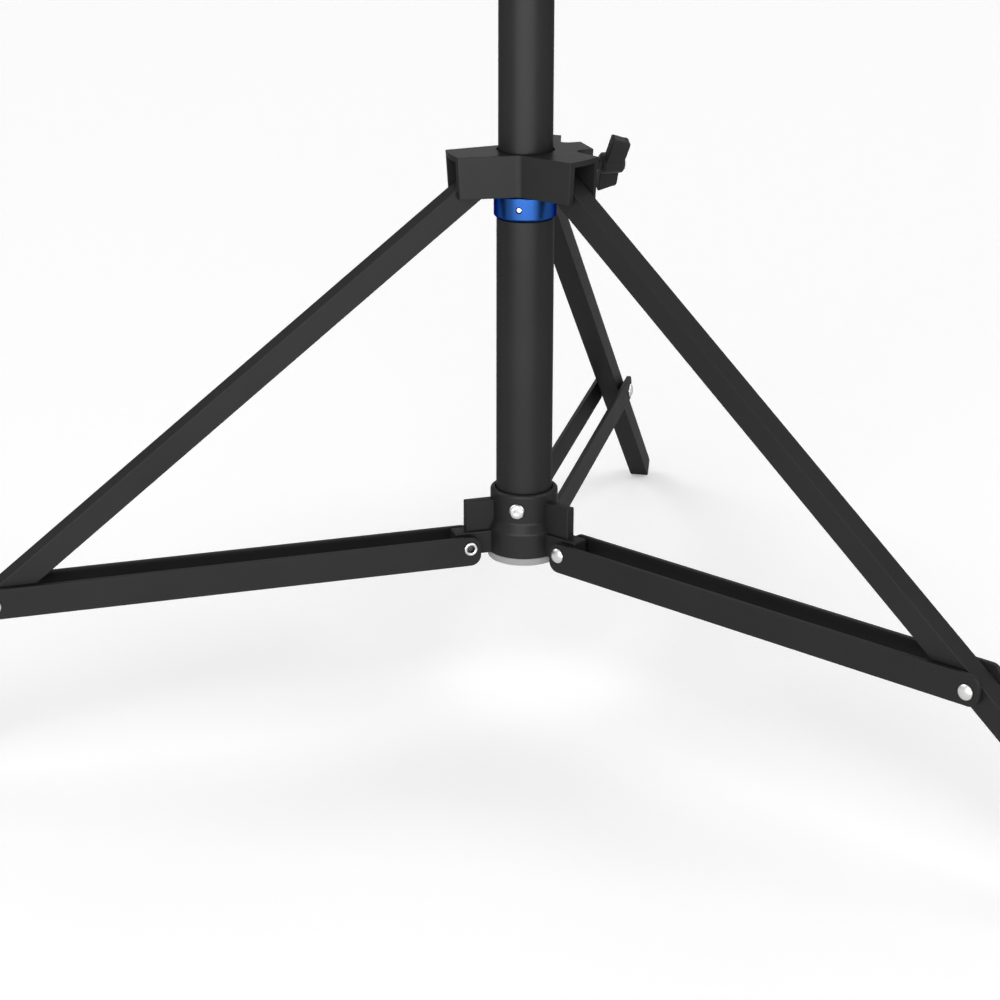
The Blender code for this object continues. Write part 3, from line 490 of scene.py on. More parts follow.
low, high = heights("stop_ring")
ring = turned(
    [
        (RING_R - RING_ROUND / 2, high), (RING_R, high - RING_ROUND / 2), (RING_R, low + RING_ROUND),
        (RING_R - RING_ROUND, low), (SLEEVE_BORE_R, low), (SLEEVE_BORE_R, high),
    ],
    steps=128,
)
soften(ring, RING_EDGE, sharp=30.0)
ring_middle = (low + high) / 2
hole = rod(RING_HOLE_R, 0, RING_R + 2 * OVERCUT)
moved(hole, OUTWARDS, at_height(ring_middle), towards(SCREW_AZIMUTH))
ring = moved(cut(ring, hole), ON_COLUMN)
piece("stop_ring_blue", ring, BLUE_ANODISED, "column", "stop_ring")

grub_tip = SLEEVE_BORE_R + RUNNING_GAP
grub_crown = RING_R - RING_SCREW_SUNK
grub = soften(rod(RING_SCREW_R, grub_tip, grub_crown), RING_SCREW_EDGE)
grub = cut(grub, rod(RING_SOCKET_R, grub_crown - RING_SOCKET_DEPTH, grub_crown + OVERCUT, steps=6))
moved(grub, OUTWARDS, at_height(ring_middle), around(SCREW_AZIMUTH))
piece("stop_ring_grub_screw", grub, PLATED_STEEL, "column", "stop_ring_screw")

# Lower hub: a casting under a slightly coarser coat of the same grey. It is a cup round the foot of the
# sleeve that flares out below, with a lug, the round pads of its bars and an upright fin on each arm.
CASTING_COAT = coating("coated casting", grain_size=1.2 * MM, roughness=0.38, relief=0.014 * MM)
LEG_AZIMUTH = {"back": 90, "left": 210, "right": 330}
HUB_TOP = 36.0 * MM
HUB_SHOULDER = 12.0 * MM
HUB_BODY_R = 22.4 * MM
HUB_FOOT_R = 25.4 * MM
HUB_CONE_TOP = 15.7 * MM
HUB_CONE_BOTTOM = 9.5 * MM
HUB_CONE_ROUND = 5.0 * MM
HUB_CUP_R = 19.02 * MM
HUB_ROUND = 2.2 * MM
HUB_EDGE = 0.8 * MM
LUG_START = 20.0 * MM
LUG_REACH = 49.6 * MM
LUG_HALF = 6.0 * MM
LUG_TOP = 8.8 * MM
LUG_BOTTOM = -6.9 * MM
LUG_EDGE = 0.8 * MM
PAD_R = 6.0 * MM
PAD_HALF = 9.7 * MM
FIN_REACH = 41.3 * MM
FIN_TOP = 29.4 * MM
FIN_HALF = 3.35 * MM
FIN_EDGE = 0.9 * MM
SCREW_R = 2.0 * MM
HUB_SCREW_Z = 25.0 * MM
RIVET_HOLE_R = 3.3 * MM


def hinge(name):
    """Where a joint of the back arm lies: its distance from the column's axis, and its height."""
    place = next(joint for joint in frame["joints"] if joint["name"] == name)["pos_m"]
    return place[1] - COLUMN.y, place[2] - COLUMN.z


def rounded(corners, steps=6):
    """A profile with rounded corners, each given as (radius, height, rounding)."""
    points = []
    for i, (radius, height, rounding) in enumerate(corners):
        corner = Vector((radius, height))
        before = (Vector(corners[i - 1][:2]) - corner).normalized()
        after = (Vector(corners[(i + 1) % len(corners)][:2]) - corner).normalized()
        if rounding == 0:
            points.append(corner)
            continue
        half = before.angle(after) / 2
        centre = corner + (before + after).normalized() * rounding / math.sin(half)
        first = corner + before * rounding / math.tan(half) - centre
        last = corner + after * rounding / math.tan(half) - centre
        points += [centre + first.slerp(last, step / steps) * rounding for step in range(steps + 1)]
    return points


hub = turned(rounded([
    (HUB_CUP_R, HUB_TOP, HUB_EDGE), (HUB_BODY_R, HUB_TOP, HUB_ROUND),
    (HUB_BODY_R, HUB_CONE_TOP, HUB_CONE_ROUND), (HUB_FOOT_R, HUB_CONE_BOTTOM, HUB_CONE_ROUND),
    (HUB_FOOT_R, HUB_BOTTOM, HUB_EDGE), (SLEEVE_BORE_R, HUB_BOTTOM, 0),
    (SLEEVE_BORE_R, HUB_SHOULDER, 0), (HUB_CUP_R, HUB_SHOULDER, 0),
]))
STRUT_PIVOT_R = hinge("strut_back_hinge")[0]
screw_hole = rod(SCREW_R + RUNNING_GAP, 0, 2 * HUB_FOOT_R, steps=32)
hub_parts = []
hub_holes = [moved(screw_hole, OUTWARDS, at_height(HUB_SCREW_Z), towards(SCREW_AZIMUTH))]
for azimuth in LEG_AZIMUTH.values():
    turn = towards(azimuth)
    at_pivot = turn @ Matrix.Translation((STRUT_PIVOT_R, 0, 0)) @ ACROSS
    lug = soften(block((LUG_START, -LUG_HALF, LUG_BOTTOM), (LUG_REACH, LUG_HALF, LUG_TOP)), LUG_EDGE)
    fin = soften(block((LUG_START, -FIN_HALF, 0), (FIN_REACH, FIN_HALF, FIN_TOP)), FIN_EDGE)
    pads = soften(rod(PAD_R, -PAD_HALF, PAD_HALF), LUG_EDGE)
    hub_parts += [moved(lug, turn), moved(fin, turn), moved(pads, at_pivot)]
    hub_holes.append(moved(rod(RIVET_HOLE_R, -2 * PAD_HALF, 2 * PAD_HALF), at_pivot))
hub = moved(cut(joined(hub, *hub_parts), *hub_holes), ON_COLUMN)
piece("lower_hub_cast", hub, CASTING_COAT, "column", "lower_hub")

# Lower hub's screw and the plug under it: a plated button-head socket screw, and a light grey moulded plug
# that closes the base tube, so that the air in it cushions the risers.
SCREW_HEAD_R = 5.4 * MM
SCREW_HEAD_HEIGHT = 2.6 * MM
SCREW_HEAD_FLAT = 2.3 * MM
SCREW_HEAD_EDGE = 0.12 * MM
SCREW_SOCKET_R = 1.7 * MM
SCREW_SOCKET_DEPTH = 1.4 * MM
PLUG_R = 24.0 * MM
PLUG_HEIGHT = 5.0 * MM
PLUG_DEPTH = 11.8 * MM
PLUG_EDGE = 0.8 * MM
GREY_DARK = (0.24, 0.24, 0.24, 1.0)
GREY_LIGHT = (0.28, 0.28, 0.28, 1.0)
MOULD_SPECULAR = 0.15
MOULD_CLOUD = 12 * MM
MOULD_CLOUD_GLOSS = 0.14
MOULD_PIT_GLOSS = 0.10


def dome(radius, height, seat, flat=0.0, rings=10):
    """The profile of a domed head, from the edge of its flat crown down to its seat."""
    points = [(0.0, seat + height)]
    for ring in range(rings + 1):
        angle = math.radians(90) * ring / rings
        points.append((flat + (radius - flat) * math.sin(angle), seat + height * math.cos(angle)))
    return points


head_seat = HUB_BODY_R + RUNNING_GAP
head_crown = head_seat + SCREW_HEAD_HEIGHT
screw_tip = SLEEVE_R + 2 * RUNNING_GAP
button = turned(
    [*dome(SCREW_HEAD_R, SCREW_HEAD_HEIGHT, head_seat, SCREW_HEAD_FLAT), (SCREW_R, head_seat),
     (SCREW_R, screw_tip), (0, screw_tip)],
    steps=64, closed=False,
)
button = cut(button, rod(SCREW_SOCKET_R, head_crown - SCREW_SOCKET_DEPTH, head_crown + OVERCUT, steps=6))
soften(button, SCREW_HEAD_EDGE, segments=2, sharp=40.0)
moved(button, OUTWARDS, at_height(HUB_SCREW_Z), around(SCREW_AZIMUTH))
piece("hub_button_screw", button, PLATED_STEEL, "column", "hub_screw")


def moulded(name, dark, light, grain_size, roughness, relief, specular=MOULD_SPECULAR):
    """Moulded plastic or rubber: even in colour, with the fine spark-eroded grain of its mould."""
    made, inputs, place = surface(name)
    cloud = noise(place, MOULD_CLOUD, detail=3.0)
    pits = place.node("TexVoronoi", {"feature": "SMOOTH_F1"}, {"Vector": place, "Scale": 1 / grain_size})
    gloss = roughness + swing(cloud, MOULD_CLOUD_GLOSS) + swing(pits, MOULD_PIT_GLOSS)
    feed(inputs["Base Color"], tone(cloud, dark, light))
    feed(inputs["Roughness"], gloss)
    feed(inputs["Specular IOR Level"], specular)
    feed(inputs["Normal"], bumps(pits, relief))
    return made


GREY_PLASTIC = moulded(
    "light grey plastic", GREY_DARK, GREY_LIGHT, grain_size=0.5 * MM, roughness=0.50, relief=0.006 * MM
)
flange_top = HUB_BOTTOM - RUNNING_GAP
plug_stem_r = TUBE_R - TUBE_WALL - RUNNING_GAP
plug = turned(
    [
        (0, HUB_BOTTOM + PLUG_DEPTH), (plug_stem_r, HUB_BOTTOM + PLUG_DEPTH), (plug_stem_r, flange_top),
        (PLUG_R, flange_top), (PLUG_R, flange_top - PLUG_HEIGHT), (0, flange_top - PLUG_HEIGHT),
    ],
    closed=False,
)
moved(soften(plug, PLUG_EDGE), ON_COLUMN)
piece("base_tube_plug", plug, GREY_PLASTIC, "column", "base_plug")

# Spider: the sliding casting that the legs hang from, coated like the hub. Its three arms are forks closed
# by a thin top, drafted a little towards the bottom. A fourth, shorter and solid one takes its clamp.
SPIDER_LOW, SPIDER_HIGH = heights("spider")
SPIDER_PLATE = 3.4 * MM
SPIDER_DRAFT = 0.967
SPIDER_BORE_R = 18.7 * MM
SPIDER_EDGE = 0.30 * MM
ARM_REACH = 48.2 * MM
ARM_TIP_HALF = 13.6 * MM
ARM_ROOT_HALF = 18.84 * MM
ARM_CORNER = 0.3 * MM
ARM_LIP = tuple((side * MM, out * MM) for side, out in (
    (13.3, 0.9), (9.0, 1.55), (4.5, 2.0), (0.0, 2.2), (-4.5, 2.0), (-9.0, 1.55), (-13.3, 0.9)
))
FORK_HALF = 9.6 * MM
FORK_START = 22.8 * MM
BOSS_REACH = 41.3 * MM
BOSS_HALF = 12.3 * MM
NOTCH_ROUND = 5.8 * MM
CORNER_ANGLE = math.radians(30)
FLAT_ANGLE = math.radians(2)
PIN_HOLE_R = 3.3 * MM
PIN_POCKET = 12.6 * MM
KNOB_AZIMUTH = 30
CLAMP_Z = SPIDER_LOW + 14.8 * MM
CLAMP_HOLE_R = 3.3 * MM
CLAMP_HOLE_REACH = 50 * MM
LEG_PIVOT_R, LEG_PIVOT_Z = hinge("leg_back_hinge")


def slab(corners, low, high):
    """A flat shape with the given (x, y) corners, from one height up to another."""
    working = bmesh.new()
    face = working.faces.new([working.verts.new((x, y, low)) for x, y in corners])
    grown = bmesh.ops.extrude_face_region(working, geom=[face])["geom"]
    top = [v for v in grown if isinstance(v, bmesh.types.BMVert)]
    bmesh.ops.translate(working, vec=(0, 0, high - low), verts=top)
    bmesh.ops.recalc_face_normals(working, faces=working.faces)
    return working


def is_upright(edge):
    """Whether an edge runs along Z."""
    return (edge.verts[0].co - edge.verts[1].co).xy.length < SAME_POINT


def round_corner(working, edge, radius, segments):
    """Round one edge to a radius, whatever its angle."""
    half_corner = (math.pi - edge.calc_face_angle()) / 2
    bevelled(working, [edge], radius / math.tan(half_corner), segments)


def round_uprights(working, radius, convex):
    """Round the upright edges of a slab: its outer corners, or else its inner ones."""
    uprights = [
        e for e in working.edges
        if is_upright(e) and e.is_convex == convex and e.calc_face_angle() > CORNER_ANGLE
    ]
    for edge in uprights:
        round_corner(working, edge, radius, 6)


arm_outline = [
    (0, -ARM_ROOT_HALF), (ARM_REACH, -ARM_TIP_HALF),
    *((ARM_REACH + out, -side) for side, out in ARM_LIP),
    (ARM_REACH, ARM_TIP_HALF), (0, ARM_ROOT_HALF),
]
boss_outline = [(0, -BOSS_HALF), (BOSS_REACH, -BOSS_HALF), (BOSS_REACH, BOSS_HALF), (0, BOSS_HALF)]
spider_parts = [
    moved(slab(arm_outline, SPIDER_LOW, SPIDER_HIGH), towards(azimuth)) for azimuth in LEG_AZIMUTH.values()
]
boss = moved(slab(boss_outline, SPIDER_LOW, SPIDER_HIGH), towards(KNOB_AZIMUTH))
spider = joined(spider_parts[0], *spider_parts[1:], boss)
bmesh.ops.dissolve_limit(
    spider, angle_limit=FLAT_ANGLE, verts=spider.verts, edges=spider.edges, use_dissolve_boundaries=False
)
round_uprights(spider, NOTCH_ROUND, convex=False)
round_uprights(spider, ARM_CORNER, convex=True)
lower_half = [v for v in spider.verts if v.co.z < (SPIDER_LOW + SPIDER_HIGH) / 2]
bmesh.ops.scale(spider, vec=(SPIDER_DRAFT, SPIDER_DRAFT, 1), verts=lower_half)
soften(spider, SPIDER_EDGE, sharp=40.0)


def clamp_hole(height, reach, radius=CLAMP_HOLE_R):
    """The cutter for the hole that a clamp's stud and shoe go through."""
    return moved(rod(radius, 0, reach), OUTWARDS, at_height(height), towards(KNOB_AZIMUTH))


spider_bore = rod(SPIDER_BORE_R, SPIDER_LOW - OVERCUT, SPIDER_HIGH + OVERCUT, steps=96)
spider_holes = [spider_bore, clamp_hole(CLAMP_Z, CLAMP_HOLE_REACH)]
for azimuth in LEG_AZIMUTH.values():
    fork = block(
        (FORK_START, -FORK_HALF, SPIDER_LOW - OVERCUT), (2 * ARM_REACH, FORK_HALF, SPIDER_HIGH - SPIDER_PLATE)
    )
    pin_hole = rod(PIN_HOLE_R, -PIN_POCKET, PIN_POCKET, steps=24)
    moved(fork, towards(azimuth))
    moved(pin_hole, ACROSS, Matrix.Translation((LEG_PIVOT_R, 0, LEG_PIVOT_Z)), towards(azimuth))
    spider_holes += [fork, pin_hole]
spider = moved(cut(spider, *spider_holes), ON_COLUMN)
piece("spider_cast", spider, CASTING_COAT, "spider", "spider")

# Liners: thin black plastic bushes that guide a tube in its casting, set back a little from its rim, each
# with a window for the clamp's shoe.
LINER_EDGE = 0.15 * MM
LINER_WINDOW_R = 3.6 * MM
BLACK_DARK = (0.0165, 0.0165, 0.0165, 1.0)
BLACK_LIGHT = (0.0205, 0.0205, 0.0205, 1.0)
BLACK_PLASTIC = moulded(
    "black plastic", BLACK_DARK, BLACK_LIGHT, grain_size=0.45 * MM, roughness=0.46, relief=0.008 * MM,
    specular=0.07,
)


def liner(node, name, tube_r, window_z, body):
    """A thin bush round a tube, as tall and as wide as its CAD node."""
    bottom, top = heights(node)
    low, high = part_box(node)
    outer = (high.x - low.x) / 2
    bush = soften(pipe(outer, tube_r, bottom, top), LINER_EDGE, segments=2)
    bush = cut(bush, clamp_hole(window_z, outer + OVERCUT, LINER_WINDOW_R))
    piece(name, moved(bush, ON_COLUMN), BLACK_PLASTIC, body, node)


liner("spider_liner", "spider_bush", TUBE_R + RUNNING_GAP, CLAMP_Z, "spider")

# Legs: rectangular aluminium tube under the powder coat, with rounded corners. Each hangs in its fork on a
# steel pin, and a plug of dark grey rubber closes its lower end and stands on the floor.
LEG_ANGLE = math.radians(37.61)
LEG_LENGTH = 590.1 * MM
LEG_HALF = 7.5 * MM
LEG_ABOVE = 6.8 * MM
LEG_BELOW = 8.6 * MM
LEG_WALL = 1.2 * MM
LEG_TAIL = 9.0 * MM
LEG_TAIL_ROUND = 6.0 * MM
LEG_EDGE = 0.45 * MM
CAP_GAP = 0.06 * MM
CAP_LENGTH = 3.7 * MM
CAP_STEM = 20.0 * MM
CAP_ROUND = 1.5 * MM
CAP_EDGE = 0.7 * MM
FOOT_CUT = 1.2 * MM
PIN_R = 3.0 * MM
PIN_HALF = 12.3 * MM
PIN_EDGE = 0.4 * MM
RUBBER_DARK = (0.016, 0.016, 0.0164, 1.0)
RUBBER_LIGHT = (0.020, 0.020, 0.0204, 1.0)
RUBBER = moulded(
    "dark grey rubber", RUBBER_DARK, RUBBER_LIGHT, grain_size=0.7 * MM, roughness=0.62, relief=0.010 * MM
)


def upright(corners, half, rounds=()):
    """A slab stood up in an arm's XZ plane, with some of its corners rounded to a given radius."""
    working = slab(corners, -half, half)
    for corner, radius in rounds:
        edge = min(
            (e for e in working.edges if is_upright(e)),
            key=lambda e: (e.verts[0].co.xy - Vector(corners[corner])).length,
        )
        round_corner(working, edge, radius, 8)
    return moved(working, ACROSS)


cap_start = LEG_LENGTH - CAP_LENGTH
leg_end = cap_start - CAP_GAP
foot_x = LEG_LENGTH - FOOT_CUT / math.sin(LEG_ANGLE)
foot_z = -LEG_BELOW + FOOT_CUT / math.cos(LEG_ANGLE)
leg_corners = [
    (-LEG_TAIL, -LEG_BELOW), (leg_end, -LEG_BELOW), (leg_end, LEG_ABOVE), (-LEG_TAIL, LEG_ABOVE)
]
cap_corners = [
    (cap_start, -LEG_BELOW), (foot_x, -LEG_BELOW), (LEG_LENGTH, foot_z), (LEG_LENGTH, LEG_ABOVE),
    (cap_start, LEG_ABOVE),
]
stem_half = LEG_HALF - LEG_WALL - RUNNING_GAP
for side, azimuth in LEG_AZIMUTH.items():
    pivot = around(azimuth) @ Matrix.Translation((LEG_PIVOT_R, 0, LEG_PIVOT_Z))
    along_leg = pivot @ Matrix.Rotation(LEG_ANGLE, 4, "Y")
    leg = upright(leg_corners, LEG_HALF, [(0, LEG_TAIL_ROUND), (3, LEG_TAIL_ROUND)])
    soften(leg, LEG_EDGE, segments=4, sharp=40.0)
    hollow = block(
        (-2 * LEG_TAIL, LEG_WALL - LEG_HALF, LEG_WALL - LEG_BELOW),
        (LEG_LENGTH, LEG_HALF - LEG_WALL, LEG_ABOVE - LEG_WALL),
    )
    bore = moved(rod(PIN_HOLE_R, -2 * LEG_HALF, 2 * LEG_HALF, steps=32), ACROSS)
    leg = moved(cut(leg, soften(hollow, LEG_EDGE / 2), bore), along_leg)
    piece(f"leg_{side}_tube", leg, POWDER_COAT, f"leg_{side}", f"leg_{side}")

    cap = soften(upright(cap_corners, LEG_HALF, [(3, CAP_ROUND)]), CAP_EDGE, sharp=20.0)
    stem = block(
        (cap_start - CAP_STEM, -stem_half, LEG_WALL + RUNNING_GAP - LEG_BELOW),
        (cap_start + CAP_LENGTH / 2, stem_half, LEG_ABOVE - LEG_WALL - RUNNING_GAP),
    )
    cap = moved(joined(cap, stem), along_leg)
    piece(f"foot_{side}_cap", cap, RUBBER, f"leg_{side}", f"foot_cap_{side}")

    pin = moved(soften(rod(PIN_R, -PIN_HALF, PIN_HALF), PIN_EDGE), ACROSS, pivot)
    piece(f"fork_{side}_pin", pin, PLATED_STEEL, "spider", f"leg_pin_{side}")

# Struts: pairs of flat steel bars with round ends, powder-coated, either side of a lug and of a leg. Plated
# rivets join them: a dome on one side, and on the other the hollow end of the shank, rolled over.
BAR_INNER = 10.0 * MM
BAR_THICKNESS = 3.17 * MM
BAR_ABOVE = 7.7 * MM
BAR_BELOW = 12.1 * MM
BAR_INNER_TAIL = 7.3 * MM
BAR_OUTER_TAIL = 8.8 * MM
BAR_ROUND = 7.0 * MM
BAR_EDGE = 0.45 * MM
RIVET_R = 3.0 * MM
DOME_R = 5.1 * MM
DOME_HEIGHT = 2.2 * MM
ROLL_R = 4.5 * MM
ROLL_HEIGHT = 1.2 * MM
ROLL_RIM = 0.35
ROLL_BORE_R = 2.55 * MM
ROLL_BORE_DEPTH = 3.6 * MM
TAIL_FLOOR = 1.0 * MM
WASHER_R = 6.0 * MM
WASHER_HALF = 0.95 * MM
WASHER_Y = 8.75 * MM
WASHER_EDGE = 0.25 * MM
# The rivets' bores are painted near-black. This is painted shade for the dark of the hollow, not the steel's
# own colour.
BORE_SHADE_DARK = (0.07, 0.07, 0.07, 1.0)
BORE_SHADE_LIGHT = (0.10, 0.10, 0.10, 1.0)
RIVET_BORE_SHADE = plated("rivet bore, painted shade", BORE_SHADE_DARK, BORE_SHADE_LIGHT, STEEL_EDGE, roughness=0.50)


def rolled(seat, rings=6):
    """The profile of a rolled-over hollow rivet end: from its seat, round its lip and into its bore."""
    middle = (ROLL_R + ROLL_BORE_R) / 2
    reach = (ROLL_R - ROLL_BORE_R) / 2
    points = [(ROLL_R, seat)]
    for ring in range(2 * rings + 1):
        angle = math.radians(90) * ring / rings
        height = ROLL_HEIGHT * (ROLL_RIM + (1 - ROLL_RIM) * math.sin(angle))
        points.append((middle + reach * math.cos(angle), seat - height))
    return points


def with_painted_bore_shade(working):
    """The rivet with the faces of its bore given a second material: near-black painted shade for the hollow.
    """
    for face in working.faces:
        middle = face.calc_center_median()
        if middle.z < 0 and middle.xy.length < ROLL_BORE_R:
            face.material_index = 1
    return working


rivet_low, rivet_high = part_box("outer_rivet_head_back")
outer_rivet = (rivet_low + rivet_high) / 2 - COLUMN
TO_FAR_END = Matrix.Translation((outer_rivet.y - STRUT_PIVOT_R, 0, outer_rivet.z))
AT_LUG = Matrix.Identity(4)
bar_end = outer_rivet.y - STRUT_PIVOT_R + BAR_OUTER_TAIL
bar_corners = [
    (-BAR_INNER_TAIL, -BAR_BELOW), (bar_end, -BAR_BELOW), (bar_end, BAR_ABOVE), (-BAR_INNER_TAIL, BAR_ABOVE)
]
rivet_seat = BAR_INNER + BAR_THICKNESS + RUNNING_GAP
bore_end = ROLL_BORE_DEPTH - rivet_seat - ROLL_HEIGHT
tail_end = -BAR_INNER - TAIL_FLOOR
head_profile = [*dome(DOME_R, DOME_HEIGHT, rivet_seat), (RIVET_R, rivet_seat)]
roll_profile = [(RIVET_R, -rivet_seat), *rolled(-rivet_seat)]
whole_profile = [*head_profile, *roll_profile, (ROLL_BORE_R, bore_end), (0, bore_end)]
domed_profile = [*head_profile, (RIVET_R, BAR_INNER), (0, BAR_INNER)]
tail_profile = [
    (0, -BAR_INNER), (RIVET_R, -BAR_INNER), *roll_profile, (ROLL_BORE_R, tail_end), (0, tail_end)
]
rivet_parts = (
    ("inner_rivet", "inner_rivet", AT_LUG, whole_profile),
    ("outer_rivet", "outer_rivet_head", TO_FAR_END, domed_profile),
    ("outer_rivet_end", "outer_rivet_tail", TO_FAR_END, tail_profile),
)
for side, azimuth in LEG_AZIMUTH.items():
    pivot = around(azimuth) @ Matrix.Translation((STRUT_PIVOT_R, 0, 0))
    body = f"strut_{side}"
    for letter, sign in (("a", -1), ("b", 1)):
        bar = upright(bar_corners, BAR_THICKNESS / 2, [(corner, BAR_ROUND) for corner in range(4)])
        soften(bar, BAR_EDGE, sharp=40.0)
        near_hole = moved(rod(RIVET_HOLE_R, -BAR_INNER, BAR_INNER), ACROSS)
        far_hole = moved(rod(RIVET_HOLE_R, -BAR_INNER, BAR_INNER), ACROSS, TO_FAR_END)
        bar = cut(bar, near_hole, far_hole)
        moved(bar, Matrix.Translation((0, sign * (BAR_INNER + BAR_THICKNESS / 2), 0)), pivot)
        bar_node = f"strut_bar_{side}_{letter}"
        piece(f"strut_{side}_bar_{letter}", bar, POWDER_COAT, body, bar_node)

        washer = soften(pipe(WASHER_R, RIVET_HOLE_R, -WASHER_HALF, WASHER_HALF, steps=48), WASHER_EDGE)
        moved(washer, ACROSS, Matrix.Translation((0, sign * WASHER_Y, 0)), pivot @ TO_FAR_END)
        washer_node = f"washer_{side}_{letter}"
        piece(f"strut_{side}_washer_{letter}", washer, BLACK_PLASTIC, body, washer_node)

    for name, node, along_bar, profile in rivet_parts:
        shank = moved(with_painted_bore_shade(turned(profile, steps=64, closed=False)), ACROSS, pivot @ along_bar)
        rivet = piece(f"strut_{side}_{name}", shank, PLATED_STEEL, body, f"{node}_{side}")
        # The bore faces take the painted shade material.
        if any(face.material_index for face in rivet.data.polygons):
            rivet.data.materials.append(RIVET_BORE_SHADE)

# Clamps: a brass shoe pressed on a tube by a steel stud, turned by a black moulded wing knob. The knob's two
# thick wings sit to either side of its round hub. They start a little large, as smoothing rounds them off.
STUD_R = 3.0 * MM
STUD_THREAD = 1.0 * MM
STUD_THREAD_DEPTH = 0.35 * MM
STUD_THREAD_FLAT = 0.15
SHOE_LENGTH = 4.2 * MM
SHOE_EDGE = 0.3 * MM
KNOB_STANDOFF = 9.0 * MM
KNOB_HUB_R = 6.9 * MM
KNOB_LENGTH = 15.4 * MM
KNOB_BORE_DEPTH = 10.0 * MM
KNOB_CHAMFER = 1.5 * MM
KNOB_NECK_R = 4.2 * MM
KNOB_NECK_GAP = 1.2 * MM
KNOB_TURN = math.radians(32)
WING_HALF = 3.2 * MM
WING_OFFSET = 2.4 * MM
WING_SET_BACK = 1.3 * MM
WING_LEAN = 1.5 * MM
WING_SHOULDER = 20.4 * MM
WING_REACH = 24.9 * MM
WING_TIP_IN = 3.8 * MM
WING_TIP_DROP = 3.6 * MM
WING_SHOULDER_ROUND = 2.0 * MM
WING_TIP_ROUND = 1.2 * MM
WING_EDGE = 0.5 * MM
KNOB_VOXEL = 0.4 * MM
KNOB_SMOOTHING = 3
BRASS_DARK = (0.62, 0.44, 0.20, 1.0)
BRASS_LIGHT = (0.72, 0.54, 0.27, 1.0)
BRASS_EDGE = (0.90, 0.80, 0.60, 1.0)
BRASS = plated("brass", BRASS_DARK, BRASS_LIGHT, BRASS_EDGE, roughness=0.32)


def blended(working):
    """The shape remeshed evenly and smoothed, so that its parts flow into each other as a moulding's do."""
    lump = helper_object(working, "lump")
    remesh = lump.modifiers.new("remesh", "REMESH")
    remesh.mode = "VOXEL"
    remesh.voxel_size = KNOB_VOXEL
    result = taken_back(lump)
    for _ in range(KNOB_SMOOTHING):
        bmesh.ops.smooth_vert(
            result, verts=result.verts, factor=0.5, use_axis_x=True, use_axis_y=True, use_axis_z=True
        )
    return result


def wing_knob(start, end, neck):
    """The knob along +X from its neck to its outer face: a round hub, a wing to either side, and its bore."""
    chamfer_r = KNOB_HUB_R - KNOB_CHAMFER
    hub = turned(
        [
            (0, end), (chamfer_r, end), (KNOB_HUB_R, end - KNOB_CHAMFER), (KNOB_HUB_R, start + KNOB_CHAMFER),
            (chamfer_r, start), (KNOB_NECK_R, start), (KNOB_NECK_R, neck), (0, neck),
        ],
        steps=64, closed=False,
    )
    wing_start = start + WING_SET_BACK
    corners = [
        (wing_start, 0), (end - WING_LEAN, 0), (end, WING_SHOULDER),
        (end - WING_TIP_IN, WING_REACH - WING_TIP_DROP), (wing_start + WING_LEAN, WING_REACH),
    ]
    rounds = [(2, WING_SHOULDER_ROUND), (3, WING_TIP_ROUND), (4, WING_TIP_ROUND)]
    wings = []
    for half_turn in (0, math.pi):
        wing = soften(upright(corners, WING_HALF, rounds), WING_EDGE, segments=2, sharp=40.0)
        moved(wing, Matrix.Translation((0, -WING_OFFSET, 0)), Matrix.Rotation(half_turn, 4, "X"))
        wings.append(wing)
    knob = blended(joined(moved(hub, OUTWARDS), *wings))
    return cut(knob, moved(rod(STUD_R + RUNNING_GAP, neck - OVERCUT, start + KNOB_BORE_DEPTH), OUTWARDS))


def threaded(bottom, top):
    """A stud along Z, threaded all along. The thread is a row of rings, as its slope is too small to see."""
    root_r = STUD_R - STUD_THREAD_DEPTH
    profile = [(0, top), (root_r, top)]
    for turn in range(int((top - bottom) / STUD_THREAD)):
        ring = top - turn * STUD_THREAD
        profile += [(root_r, ring - STUD_THREAD * STUD_THREAD_FLAT), (STUD_R, ring - STUD_THREAD / 2)]
    profile += [(root_r, bottom), (0, bottom)]
    return turned(profile, steps=48, closed=False)


def clamp(name, height, tube_r, boss_end, body, knob_body):
    """Shoe, stud and wing knob on its neck, on the clamps' azimuth at a height on the column."""
    place = around(KNOB_AZIMUTH) @ at_height(height)
    shoe_start = tube_r + RUNNING_GAP
    stud_start = shoe_start + SHOE_LENGTH + RUNNING_GAP
    start = boss_end + KNOB_STANDOFF
    end = start + KNOB_LENGTH
    neck = boss_end + KNOB_NECK_GAP
    stud_end = start + KNOB_BORE_DEPTH - RUNNING_GAP

    shoe = soften(rod(STUD_R, shoe_start, stud_start - RUNNING_GAP), SHOE_EDGE)
    piece(name + "_clamp_shoe", moved(shoe, OUTWARDS, place), BRASS, body, name + "_shoe")
    stud = moved(threaded(stud_start, stud_end), OUTWARDS, place)
    piece(name + "_clamp_stud", stud, PLATED_STEEL, knob_body, name + "_stud")
    knob = moved(wing_knob(start, end, neck), Matrix.Rotation(KNOB_TURN, 4, "X"), place)
    piece(name + "_wing_knob", knob, BLACK_PLASTIC, knob_body, name + "_knob")


clamp("spider", CLAMP_Z, TUBE_R, BOSS_REACH, "spider", "spider_knob")

# Collars: coated castings on the tops of the base tube and of the first riser. Each sockets its tube, guides
# the next riser in a bush, and has a round boss for its clamp.
RISER_1_R = 15.0 * MM
RISER_2_R = 12.5 * MM
COLLAR_WALL = 3.7 * MM
COLLAR_SOCKET = 28.0 * MM
COLLAR_GUIDE = 24.0 * MM
COLLAR_BOSS_R = 8.0 * MM
COLLAR_BOSS_REACH = 9.0 * MM
COLLAR_BOSS_SUNK = 0.8 * MM
COLLAR_BOSS_EDGE = 0.8 * MM
COLLAR_ROUND = 2.0 * MM
COLLAR_EDGE = 0.6 * MM
COLLAR_LIP = 1.0 * MM
COLLAR_BAND = 5.0 * MM
BUSH_WALL = 0.8 * MM


